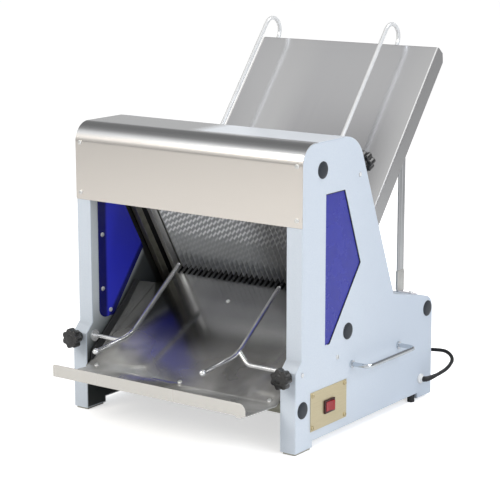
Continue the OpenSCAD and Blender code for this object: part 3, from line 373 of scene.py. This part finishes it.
# The same rubber under the feet, pale with flour at the front
foot_rubber = finish("floured_rubber", ("#1f2022", "#2b2c2e"), (0.6, 0.75), (2, 2, 2), bump=0.05)
overlay(foot_rubber, "#b4b3a8", band(foot_rubber, front_foot, BACK, 60, 120, (1, 0)))
# Black nylon bushes and the cord's tie, with a soft sheen
nylon = finish("black_nylon", ("#2b2d2f", "#36383a"), (0.4, 0.5), (3, 3, 3), bump=0.01)
# Grey cast iron with its sand skin
iron = finish("grey_cast_iron", ("#5b5e62", "#6d7074"), (0.55, 0.7), (1.6, 1.6, 1.6),
              bump=0.12, Metallic=0.6)
# Machine enamel on the motor, satin over a rough casting
motor_enamel = finish("grey_blue_enamel", ("#4a5661", "#56636f"), (0.35, 0.45), (5, 5, 5), bump=0.02)
# Brass contact pins, plated and bright
pin_brass = finish("plated_contact_pin", ("#c9c3ad", "#d8d3c0"), (0.2, 0.3), (3, 3, 3), Metallic=1.0)

node_finish = {
    powder_coat: ["housing_left", "housing_right", "rear_cover", "rear_guard"],
    wall_coat: ["wall_left", "wall_right"],
    blue_enamel: ["window_left", "window_right"],
    blue_acrylic: ["guard_left", "guard_right"],
    hood_steel: ["cover"],
    infeed_steel: ["infeed_tray"],
    strut_steel: ["struts"],
    slope_steel: ["outfeed_tray"],
    bar_steel: ["tie_top", "tie_front", "tie_slope", "base", "tray_brackets", "rails_left", "rails_right",
                "crankshaft", "motor_shaft", "conrod_front", "conrod_rear"],
    frame_steel: ["frame_front", "frame_rear"],
    blade_steel: ["blades_front", "blades_rear"],
    chrome: ["outfeed_fork_left", "outfeed_fork_right", "outfeed_bush_left", "outfeed_bush_right"],
    handle_chrome: ["handle_left", "handle_right"],
    satin_chrome: ["infeed_guide_left", "infeed_guide_right"],
    zinc: ["screws"],
    phenolic: ["knob_front_left", "knob_front_right", "knob_rear_left", "knob_rear_right"],
    cap_plastic: ["plugs_left", "plugs_right"],
    brass: ["switch_plate"],
    rocker_red: ["rocker"],
    bezel_red: ["switch_body"],
    gland_nylon: ["gland"],
    sheath: ["cord", "cord_coil", "cord_plug"],
    rubber_and_painted_shade: ["belt"],
    foot_rubber: ["feet"],
    nylon: ["infeed_bushes"],
    iron: ["bearings", "pulley_main", "pulley_motor", "rail_blocks"],
    motor_enamel: ["motor"],
}
finish_of = {n: m for m, names in node_finish.items() for n in names}
body_of = {n: b for b, names in frame["record"]["behaviour"]["bodies"].items() for n in names}
for name, made in finish_of.items():
    nodes[name].data.materials.clear()
    nodes[name].data.materials.append(made)


# Making pieces


def piece(name, shape, stands_for, surface, smooth=35):
    """Puts a shape in the scene on the body of the node that it stands for."""
    mesh = bpy.data.meshes.new(name)
    shape.to_mesh(mesh)
    shape.free()
    mesh.materials.append(surface)
    for face in mesh.polygons:
        face.use_smooth = True
        face.material_index = 0
    mesh.set_sharp_from_angle(angle=math.radians(smooth))
    made = bpy.data.objects.new(name, mesh)
    scene.collection.objects.link(made)
    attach(made, body_of[stands_for])
    return made


def ease(shape, edges, width, steps, clamp=True):
    """Rounds edges of a shape by width in mm."""
    bmesh.ops.bevel(shape, geom=edges, offset=width * MM, offset_type="OFFSET", affect="EDGES",
                    segments=steps, profile=0.5, material=-1, clamp_overlap=clamp)


def sharp(shape):
    """The edges where a shape turns by about a right angle, in radians."""
    return [e for e in shape.edges if e.calc_face_angle(0) > 1.2]


def pull(shape, faces, by, hollow=False):
    """Extrudes faces of a shape and moves the new ones, in mm; hollow takes the old ones away."""
    made = bmesh.ops.extrude_face_region(shape, geom=faces)
    moved = [v for v in made["geom"] if isinstance(v, bmesh.types.BMVert)]
    if hollow:
        bmesh.ops.delete(shape, geom=faces, context="FACES")
    bmesh.ops.translate(shape, verts=moved, vec=Vector(by) * MM)


def join(shape, other):
    """Adds another form to a shape and frees it."""
    mesh = bpy.data.meshes.new("part")
    other.to_mesh(mesh)
    other.free()
    shape.from_mesh(mesh)
    bpy.data.meshes.remove(mesh)


# Sheet and bar with eased edges

# Radius of a fold made in a press, half the width of the infeed tray, and how near counts as on a face, in mm
FOLD_R, FEED_HALF, NEAR = 2, 203, 0.05


def eased(node, width, angle=40, steps=2, pick=None, fold=None):
    """A copy of a node with its sharp edges eased by width in mm, all of them or those picked; fold picks
    the edges that were folded in a press and get the radius of a fold."""
    shape = bmesh.new()
    shape.from_mesh(nodes[node].data)
    bmesh.ops.remove_doubles(shape, verts=shape.verts, dist=0.02 * MM)
    bmesh.ops.dissolve_limit(shape, angle_limit=math.radians(0.5), verts=shape.verts, edges=shape.edges)
    folds = [e for e in shape.edges if fold and len(e.link_faces) == 2 and fold(e)]
    ease(shape, folds, FOLD_R, 4, clamp=False)
    edges = [
        e for e in shape.edges
        if len(e.link_faces) == 2 and e.calc_face_angle() > math.radians(angle) and (not pick or pick(e))
    ]
    ease(shape, edges, width, steps, clamp=False)
    made = piece(node + "_eased", shape, node, finish_of[node])
    flat = made.modifiers.new("flat faces", "WEIGHTED_NORMAL")
    flat.keep_sharp = True
    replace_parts(made, node)


def flank(e):
    """An edge on the outer face of a side housing, where the sheet is folded round."""
    return all(abs(abs(v.co.x) - HALF * MM) < NEAR * MM for v in e.verts) and e.calc_length() > 1.2 * MM


def longer(size):
    """Picks edges longer than a size in mm, so that small holes and slots stay crisp."""
    return lambda e: e.calc_length() > size * MM


def feed_fold(e):
    """The long outer edge of the infeed tray, where the sheet goes over into a side flange."""
    a, b = (v.co - feed_edge for v in e.verts)
    on_top = max(abs(v.dot(feed_off)) for v in (a, b)) < NEAR * MM
    return on_top and min(abs(a.x), abs(b.x)) > (FEED_HALF - 0.1) * MM and e.calc_length() > 100 * MM


for side, _ in SIDES:
    eased("housing_" + side, 1.8, angle=60, steps=3, pick=flank)
    eased("rails_" + side, 0.6)
    eased("guard_" + side, 0.3, pick=longer(6))
eased("cover", 0.3, pick=longer(6))
eased("outfeed_tray", 0.3)
eased("infeed_tray", 0.4, fold=feed_fold)
eased("struts", 0.5, pick=longer(2))
for name in ("frame_front", "frame_rear"):
    eased(name, 0.6, pick=longer(60))
eased("switch_plate", 0.5, pick=longer(6))
eased("switch_body", 0.7)
eased("rocker", 0.7)
eased("feet", 0.8, pick=longer(2))


# Turned and moulded pieces


def stand(point, axis):
    """A place whose own Z runs along axis."""
    turn = UP.rotation_difference(Vector(axis))
    return Matrix.Translation(point) @ turn.to_matrix().to_4x4()


def turned(profile, places, steps=32):
    """Turned forms at several places; the profile holds radius and height in mm from the axis out."""
    shape = bmesh.new()
    for place in places:
        one = bmesh.new()
        verts = [one.verts.new((r * MM, 0, h * MM)) for r, h in profile]
        edges = [one.edges.new(pair) for pair in zip(verts, verts[1:])]
        bmesh.ops.spin(one, geom=verts + edges, cent=(0, 0, 0), axis=(0, 0, 1), angle=2 * math.pi,
                       steps=steps, use_merge=True)
        bmesh.ops.remove_doubles(one, verts=one.verts, dist=0.001 * MM)
        bmesh.ops.recalc_face_normals(one, faces=one.faces)
        bmesh.ops.transform(one, matrix=place, verts=one.verts)
        join(shape, one)
    return shape


# Hole caps: a low dome with a thin rim
cap_places = [(60, 487), (144, 189), (423, 175), (2.5, 78)]
cap_profile = [(0, 3.0), (5, 2.95), (9, 2.7), (12, 2.1), (13.2, 1.5), (14.2, 1.3), (14.8, 0.9), (15, 0.4),
               (15, 0.02), (12.9, 0.02), (12.9, -5.5), (0, -5.5)]
for side, sign in SIDES:
    caps = turned(cap_profile, [stand(at(sign * HALF, y, z), (sign, 0, 0)) for y, z in cap_places], steps=48)
    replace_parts(piece("hole_caps_" + side, caps, "plugs_" + side, cap_plastic), "plugs_" + side)

# Star knobs: seven lobes drawn from a circle, a waisted hub and the stud
LOBES = 7
# How far the lobes stand out and how much their tops are flattened, as shares of the radius
LOBE_OUT, LOBE_FLAT = 0.1, 0.015
# Mean radius of the head, its thickness and its height over the seat, in mm
KNOB_R, KNOB_DEPTH, KNOB_LIFT = 17.3, 16, 13
hub_profile = [(3, 0.3), (7.6, 0.3), (8.6, 0.9), (8.2, 6), (8.8, 10.2), (11, 13.4), (11, 15), (0, 15)]
boss_profile = [(0, 30), (5.5, 29.8), (8.2, 29.4), (9.2, 28.8), (9.2, 27), (0, 27)]


def star_knob(reach):
    """A star knob standing on its seat, its stud reaching down by reach in mm."""
    head = bmesh.new()
    bmesh.ops.create_circle(head, cap_ends=True, segments=LOBES * 14, radius=KNOB_R * MM)
    for v in head.verts:
        angle = math.atan2(v.co.y, v.co.x)
        v.co *= 1 + LOBE_OUT * math.cos(LOBES * angle) - LOBE_FLAT * math.cos(2 * LOBES * angle)
    pull(head, list(head.faces), (0, 0, KNOB_DEPTH))
    bmesh.ops.recalc_face_normals(head, faces=head.faces)
    ease(head, sharp(head), 3.2, 5)
    bmesh.ops.translate(head, verts=head.verts, vec=(0, 0, KNOB_LIFT * MM))
    for profile in ([(0, -reach), (3, -reach)] + hub_profile, boss_profile):
        join(head, turned(profile, [Matrix()]))
    return head


# Depth and height of the stems that the knobs hold, the knobs' place along them, and how far their studs
# stop before the middle of the stems, in mm
FORK_STEM, FEED_STEM = (2, 140.6), (179, 464)
KNOB_X, STUD_GAP = 234, 8.3
rear_axis = Vector((0, 1, 0.4095)).normalized()
for side, sign in SIDES:
    for end, middle, axis, depth in (
        ("front", at(sign * KNOB_X, *FORK_STEM), -BACK, 20.0),
        ("rear", at(sign * KNOB_X, *FEED_STEM), rear_axis, 21.97),
    ):
        knob = star_knob(depth - STUD_GAP)
        bmesh.ops.transform(knob, matrix=stand(middle + axis * depth * MM, axis), verts=knob.verts)
        node = "knob_%s_%s" % (end, side)
        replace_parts(piece("star_" + node, knob, node, phenolic, smooth=50), node)


# Rods, bent from round bar


def bent(corners, bend):
    """A line through the corners, each inner one rounded to the bend radius in mm."""
    line = [corners[0]]
    for a, b, c in zip(corners, corners[1:], corners[2:]):
        into, out = (b - a).normalized(), (c - b).normalized()
        turn = into.angle(out)
        inward = (out - into * into.dot(out)).normalized()
        centre = b - into * bend * MM * math.tan(turn / 2) + inward * bend * MM
        steps = max(3, math.ceil(turn / math.radians(6)))
        for i in range(steps + 1):
            swing = turn * i / steps
            line.append(centre + (into * math.sin(swing) - inward * math.cos(swing)) * bend * MM)
    return line + [corners[-1]]


def ended(line, radius, ball):
    """Points with a width each that draw the line's end out round: a dome, or a ball of that radius."""
    big = ball or radius
    way = (line[-1] - line[-2]).normalized()
    start = math.asin(-math.sqrt(max(big * big - radius * radius, 0)) / big)
    cap = []
    for i in range(9):
        swing = start + (math.radians(88) - start) * i / 8
        cap.append((line[-1] + way * big * MM * math.sin(swing), big * math.cos(swing) / radius))
    return cap


def round_curve(name, runs, diameter, resolution):
    """A round curve of one or more runs; each run is a list of points with their width, 1 for the diameter
    in mm."""
    curve = bpy.data.curves.new(name, "CURVE")
    curve.dimensions = "3D"
    curve.bevel_depth = diameter / 2 * MM
    curve.bevel_resolution = resolution
    curve.use_fill_caps = True
    for points in runs:
        spline = curve.splines.new("POLY")
        spline.points.add(len(points) - 1)
        for target, (place, width) in zip(spline.points, points):
            target.co = (*place, 1)
            target.radius = width
        spline.use_smooth = True
    made = bpy.data.objects.new(name, curve)
    scene.collection.objects.link(made)
    return made


def tube(runs, diameter):
    """Round runs as one shape."""
    made = round_curve("run", runs, diameter, 5)
    bpy.context.view_layer.update()
    mesh = bpy.data.meshes.new_from_object(made.evaluated_get(bpy.context.evaluated_depsgraph_get()))
    bpy.data.curves.remove(made.data)
    shape = bmesh.new()
    shape.from_mesh(mesh)
    bmesh.ops.remove_doubles(shape, verts=shape.verts, dist=0.005 * MM)
    bmesh.ops.recalc_face_normals(shape, faces=shape.faces)
    bpy.data.meshes.remove(mesh)
    return shape


def rod(name, lines, stands_for, diameter=8.0):
    """A chromed rod of one or more runs; each run is its line, then the ball radius at start and end:
    0 for a dome, None for an end that is cut square."""
    runs = []
    for line, first, last in lines:
        points = [(p, 1.0) for p in line]
        if first is not None:
            points = ended(line[::-1], diameter / 2, first)[::-1] + points[1:]
        if last is not None:
            points = points[:-1] + ended(line, diameter / 2, last)
        runs.append(points)
    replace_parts(piece(name, tube(runs, diameter), stands_for, finish_of[stands_for], smooth=60), stands_for)


# Infeed guides: a rod above the tray, hooked round its top edge, and an arm from it to the stem; S runs up the
# tray and H off it, in mm
GUIDE_H, HOOK_S, HOOK_H = 44, 29, -8
STEM_S, STEM_H = -367.96, 150.6
for (side, sign), x in zip(SIDES, (-173, 106)):
    along = bent([feed(x, -430, GUIDE_H), feed(x, HOOK_S, GUIDE_H), feed(x, HOOK_S, HOOK_H),
                  feed(x, -13, HOOK_H)], 26)
    arm = bent([feed(x, STEM_S, GUIDE_H), feed(x, STEM_S, STEM_H), at(sign * STEM_END, *FEED_STEM)], 14)
    rod("infeed_rod_" + side, [(along, 0, 0), (arm, None, None)], "infeed_guide_" + side)
# Outfeed forks: a rod over the slope with a ball at its low end, and a stem welded on near its bend
for (side, sign), x, reach in zip(SIDES, (-129, 110), (178, 161)):
    low, knee = at(x, -94.5, 144.1), at(x, 3, 153.6)
    arms = bent([low, knee, knee + fork_way * reach * MM], 70)
    weld = knee + fork_way * 10 * MM
    stem = bent([weld, at(x + sign * 25, *FORK_STEM), at(sign * STEM_END, *FORK_STEM)], 24)
    rod("outfeed_rod_" + side, [(arms, 6, 0), (stem, None, None)], "outfeed_fork_" + side)


# Pan head screws with a cross recess

# Half the width of the recess, half its length, its depth, and the height of the head's flat top, in mm
CROSS_W, CROSS_L, CROSS_DEEP, HEAD_TOP = 0.55, 2.1, 1.0, 2.2
head_profile = [(2.9, 2.25), (3.5, 2.05), (4.0, 1.6), (4.2, 1.0), (4.2, 0), (2, 0), (2, -2), (0, -2)]


def screw_head():
    """One pan head on its seat, with the top of its shank."""
    head = turned(head_profile, [Matrix()], steps=24)
    bmesh.ops.holes_fill(head, edges=[e for e in head.edges if e.is_boundary], sides=0)
    for axis in (RIGHT, BACK):
        for cut in (-CROSS_W, CROSS_W, -CROSS_L, CROSS_L):
            lid = [f for f in head.faces if f.calc_center_median().z > HEAD_TOP * MM]
            near = lid + list({e for f in lid for e in f.edges}) + list({v for f in lid for v in f.verts})
            bmesh.ops.bisect_plane(head, geom=near, plane_co=axis * cut * MM, plane_no=axis, dist=0.001 * MM)
    cross = []
    for f in head.faces:
        c = f.calc_center_median() / MM
        if c.z > HEAD_TOP and min(abs(c.x), abs(c.y)) < CROSS_W and max(abs(c.x), abs(c.y)) < CROSS_L:
            cross.append(f)
    pull(head, cross, (0, 0, -CROSS_DEEP), hollow=True)
    return head


# On each side: the hood's front, the blue sheet in the mouth, the housing, the strut's foot and the slope
box_up = Vector((0, 32, 142)).normalized()
LIP_N = -289.27
seats = []
for _, sign in SIDES:
    seats += [(at(sign * 239, -1.2, z), -BACK) for z in (500, 408)]
    seats += [(at(sign * 216.5, y, z), (-sign, 0, 0)) for y, z in ((30, 326), (29, 224), (50, 180))]
    seats += [(at(sign * HALF, 110.6, 149), (sign, 0, 0))]
    seats += [(at(sign * 225, 404.54, 205.44), box_up)]
    seats += [(slope(sign * 195, LIP_N), slope_up)]
# the middle of the slope, and the switch plate's corners
seats += [(slope(0, LIP_N), slope_up), (slope(-28, -77), slope_up)]
seats += [(at(HALF + 1.5, y, z), RIGHT) for y in (32, 134) for z in (39, 97)]
heads = bmesh.new()
for i, (point, axis) in enumerate(seats):
    one = screw_head()
    tightened = Matrix.Rotation(math.radians(i * 37 % 90), 4, "Z")
    bmesh.ops.transform(one, matrix=stand(point, axis) @ tightened, verts=one.verts)
    join(heads, one)
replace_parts(piece("pan_head_screws", heads, "screws", zinc, smooth=40), "screws")


# The slope's upturned sides with a black trim along each as painted shade of the shadowed gap to the wall, a
# black bead along the back of the cut-out in each side as painted shade of its recess, and the sleeve at the
# foot of each strut


def plate(outline, x0, x1):
    """A flat piece between two places along X; the outline holds depth and height in mm."""
    shape = bmesh.new()
    face = shape.faces.new([shape.verts.new(at(x0, y, z)) for y, z in outline])
    pull(shape, [face], (x1 - x0, 0, 0))
    bmesh.ops.recalc_face_normals(shape, faces=shape.faces)
    return shape


wing = [(-3, 100), (180, 208), (132, 220.5), (6, 108.5)]
shade_strip = [(-10, 96.5), (-4.5, 99.5), (10, 107.5), (54, 145), (92, 178), (132, 220), (122, 228), (82, 189.5),
        (57, 169.5), (30, 146), (-6, 117), (-10, 110)]
for side, sign in SIDES:
    piece("slope_wing_" + side, plate(wing, sign * 212.3, sign * 213.4), "outfeed_tray", slope_steel)
    # a black strip, painted shade for the shadowed gap between the slope and the wall
    shade_edge = plate(shade_strip, sign * 211.2, sign * 215.8)
    ease(shade_edge, sharp(shade_edge), 1.4, 3)
    piece("slope_shade_strip_" + side, shade_edge, "outfeed_tray", rubber_and_painted_shade)

window = [(80, 178), (86, 178), (184, 306), (131, 443), (73, 443)]
sleeve = [(391.6, 209.5), (416.4, 204.5), (416.4, 244), (414, 246.4), (394, 246.4), (391.6, 244)]
for side, sign in SIDES:
    # a black bead, painted shade of the cut-out's recess
    recess_shade = bent([at(sign * 248.7, y, z) for y, z in window], 1.6)
    piece("window_recess_shade_" + side, tube([[(p, 1.0) for p in recess_shade]], 2), "window_" + side, rubber_and_painted_shade, smooth=60)
    clip = plate(sleeve, sign * 198.2, sign * 202.4)
    ease(clip, sharp(clip), 0.8, 2)
    piece("strut_sleeve_" + side, clip, "struts", frame_steel)


# Mains lead: gland, cord with its coil and tie, plug

CORD_D = 7
gland_profile = [(3.55, -6), (6.95, -6), (6.95, 0.02), (9.1, 0.02), (9.5, 0.5), (9.5, 2.6), (9, 3.6),
                 (8.2, 4), (6.6, 4), (6.1, 4.6), (5.7, 7.4), (5.2, 8), (3.55, 8), (3.55, -6)]
gland = turned(gland_profile, [stand(at(HALF, 400, 42.5), RIGHT)], steps=40)
gland = piece("cord_gland", gland, "gland", gland_nylon)
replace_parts(gland, "gland")

# Route of the cord from the gland to the coil, as in the part's source
route = [at(*p) for p in (
    (242, 400, 42.5), (256, 400, 42.5), (263, 402, 43), (268, 412, 44.5), (274, 430, 48.5), (278, 450, 53.5),
    (277, 468, 58.5), (272, 485, 63.5), (260, 500, 67.5), (244, 509, 70.5), (228, 510, 70.5), (205, 509, 68),
    (180, 509, 63), (150, 513, 55), (120, 520, 48), (99, 523, 44.6), (90, 524, 44),
)]
line = []
# a smooth curve through the route's points, in four steps from each to the next
for i in range(len(route) - 1):
    a, b, c, d = (route[min(max(k, 0), len(route) - 1)] for k in (i - 1, i, i + 1, i + 2))
    for t in (0, 0.25, 0.5, 0.75):
        line.append(0.5 * (2 * b + (c - a) * t + (2 * a - 5 * b + 4 * c - d) * t * t
                           + (3 * b - a - 3 * c + d) * t * t * t))
# the coil, wound downward, and the tail that leaves it for the plug
COIL_X, COIL_Y, COIL_R, COIL_TOP, COIL_STEP = 90, 486, 38, 44, 7.8
LOOPS, LOOP_POINTS = 5, 36
TAIL, TAIL_POINTS = 52, 5
for i in range(LOOPS * LOOP_POINTS + 1):
    swing = math.radians(90 + i * 360 / LOOP_POINTS)
    line.append(at(COIL_X + COIL_R * math.cos(swing), COIL_Y + COIL_R * math.sin(swing),
                   COIL_TOP - COIL_STEP * i / LOOP_POINTS))
for i in range(1, TAIL_POINTS + 1):
    line.append(at(COIL_X - TAIL * i / TAIL_POINTS, COIL_Y + COIL_R, COIL_TOP - COIL_STEP * LOOPS + i))
cord = round_curve("mains_lead", [[(p, 1.0) for p in line]], CORD_D, 4)
cord.data.materials.append(sheath)
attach(cord, body_of["cord"])
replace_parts(cord, "cord", "cord_coil")

# Strain relief: a ribbed boot that narrows along the first stretch of the cord; its length in mm, the point of
# the line where it starts, then its width, taper and ribs as shares of the cord's diameter
BOOT, BOOT_FROM, BOOT_WIDE, BOOT_TAPER, BOOT_RIB = 30, 4, 1.62, 0.48, 0.1
boot_line, walked = [], 0.0
for a, b in zip(line[BOOT_FROM:], line[BOOT_FROM + 1:]):
    rib = BOOT_RIB if len(boot_line) % 2 else 0.0
    boot_line.append((a, BOOT_WIDE - BOOT_TAPER * walked / BOOT - rib))
    walked += (b - a).length / MM
    if walked > BOOT:
        break
boot = piece("cord_boot", tube([boot_line], CORD_D), "gland", sheath, smooth=60)

# Plug with a ribbed neck, and its two pins
plug_place = stand(line[-1], -RIGHT)
plug_profile = [(0, -1), (4.4, -1), (4.6, 1), (4.3, 2), (5.2, 3), (4.9, 4.4), (5.8, 5.4), (5.5, 6.8),
                (6.5, 7.8), (6.3, 9.2), (7.4, 10.4), (8.3, 12), (9.0, 14.5), (9.5, 17), (9.5, 36),
                (9.0, 38.5), (7.6, 40), (0, 40)]
plug = piece("mains_plug", turned(plug_profile, [plug_place], steps=36), "cord_plug", sheath, smooth=50)
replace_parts(plug, "cord_plug")
PIN_OFF = 4.75
pins = turned([(0, 39.8), (2, 39.8), (2, 56.6), (1.6, 57.6), (0.8, 58), (0, 58)],
              [plug_place @ Matrix.Translation((0, k * PIN_OFF * MM, 0)) for k in (-1, 1)], steps=20)
pins = piece("mains_plug_pins", pins, "cord_plug", pin_brass)

# A strap holds the turns together at the far side of the coil
strap_size = (9.6 * MM, 11 * MM, 46 * MM, 1)
strap = bmesh.new()
bmesh.ops.create_cube(strap, size=1, matrix=Matrix.Translation(at(COIL_X - COIL_R, COIL_Y, 23.4))
                      @ Matrix.Diagonal(strap_size))
ends = [f for f in strap.faces if abs(f.normal.y) > 0.9]
bmesh.ops.delete(strap, geom=ends, context="FACES_ONLY")
ease(strap, [e for e in strap.edges if len(e.link_faces) == 2], 3.6, 5)
bmesh.ops.recalc_face_normals(strap, faces=strap.faces)
bmesh.ops.solidify(strap, geom=strap.faces, thickness=0.8 * MM)
tie = piece("cord_tie", strap, "cord_coil", nylon, smooth=30)


# Studio: pale floor, soft lamps, white surroundings

# Light of the surroundings on the object, and glow that keeps the floor pale to the camera
ROOM_LIGHT, FLOOR_GLOW = 0.46, 0.6

world = bpy.data.worlds.new("studio")
scene.world = world
world.use_nodes = True
tree = world.node_tree
way = add(tree, "ShaderNodeTexCoord")
split = add(tree, "ShaderNodeSeparateXYZ", {"Vector": way.outputs["Generated"]})
front = add(tree, "ShaderNodeMath", {0: split.outputs["Y"], 1: -1.0}, operation="MULTIPLY")
angle = add(tree, "ShaderNodeMath", {0: split.outputs["Z"], 1: front.outputs[0]}, operation="ARCTAN2")
turn = add(tree, "ShaderNodeMath", {0: angle.outputs[0], 1: math.pi}, operation="DIVIDE")
# What shines in the metal, from the front horizon over the ceiling to the back: a wide bright window in front
shine = [(0.0, 0.35), (0.05, 0.35), (0.09, 1.0), (0.28, 1.0), (0.36, 0.62), (0.44, 0.28), (0.6, 0.2),
         (0.8, 0.22), (0.9, 0.46), (0.96, 0.66), (1.0, 0.8)]
room = add(tree, "ShaderNodeValToRGB", {"Fac": turn.outputs[0]}, stops=[(w, (v, v, v, 1)) for w, v in shine])
path = add(tree, "ShaderNodeLightPath").outputs
mirrored = add(tree, "ShaderNodeMath", {
    0: path["Is Glossy Ray"], 1: path["Is Transmission Ray"]}, operation="MAXIMUM")
level = add(tree, "ShaderNodeMix", {
    "Factor": mirrored.outputs[0], "A": ROOM_LIGHT, "B": room.outputs["Color"]})
# White where the camera looks past the object
seen = add(tree, "ShaderNodeMath", {
    0: level.outputs["Result"], 1: path["Is Camera Ray"]}, operation="MAXIMUM")
tree.links.new(seen.outputs[0], tree.nodes["Background"].inputs["Strength"])
tree.nodes["Background"].inputs["Color"].default_value = (1, 1, 1, 1)

ground = bmesh.new()
bmesh.ops.create_grid(ground, x_segments=1, y_segments=1, size=14)
ground_mesh = bpy.data.meshes.new("floor")
ground.to_mesh(ground_mesh)
ground.free()
floor = bpy.data.objects.new("floor", ground_mesh)
scene.collection.objects.link(floor)
paper = bpy.data.materials.new("white_paper_floor")
paper.use_nodes = True
tree = paper.node_tree
shader = tree.nodes["Principled BSDF"]
shader.inputs["Base Color"].default_value = (0.9, 0.9, 0.9, 1)
shader.inputs["Roughness"].default_value = 0.9
shader.inputs["Specular IOR Level"].default_value = 0.1
shader.inputs["Emission Color"].default_value = (1, 1, 1, 1)
path = add(tree, "ShaderNodeLightPath").outputs
glow = add(tree, "ShaderNodeMath", {0: path["Is Camera Ray"], 1: FLOOR_GLOW}, operation="MULTIPLY")
tree.links.new(glow.outputs[0], shader.inputs["Emission Strength"])
ground_mesh.materials.append(paper)


def lamp(name, place, aim, size, watts, colour="#ffffff"):
    """A square soft box that faces its aim."""
    data = bpy.data.lights.new(name, "AREA")
    data.size = size
    data.energy = watts
    data.color = linear(colour)[:3]
    made = bpy.data.objects.new(name, data)
    made.location = place
    made.rotation_euler = (Vector(aim) - Vector(place)).to_track_quat("-Z", "Y").to_euler()
    scene.collection.objects.link(made)


lamp("key", (-1.0, -2.9, 2.3), (0, 0, 0.3), 1.6, 48, "#fffaf2")
lamp("side", (2.9, -0.6, 1.6), (0, 0, 0.3), 1.6, 26, "#f2f7ff")
lamp("top", (1.0, 0.9, 2.8), (0, 0.1, 0.4), 1.4, 32)
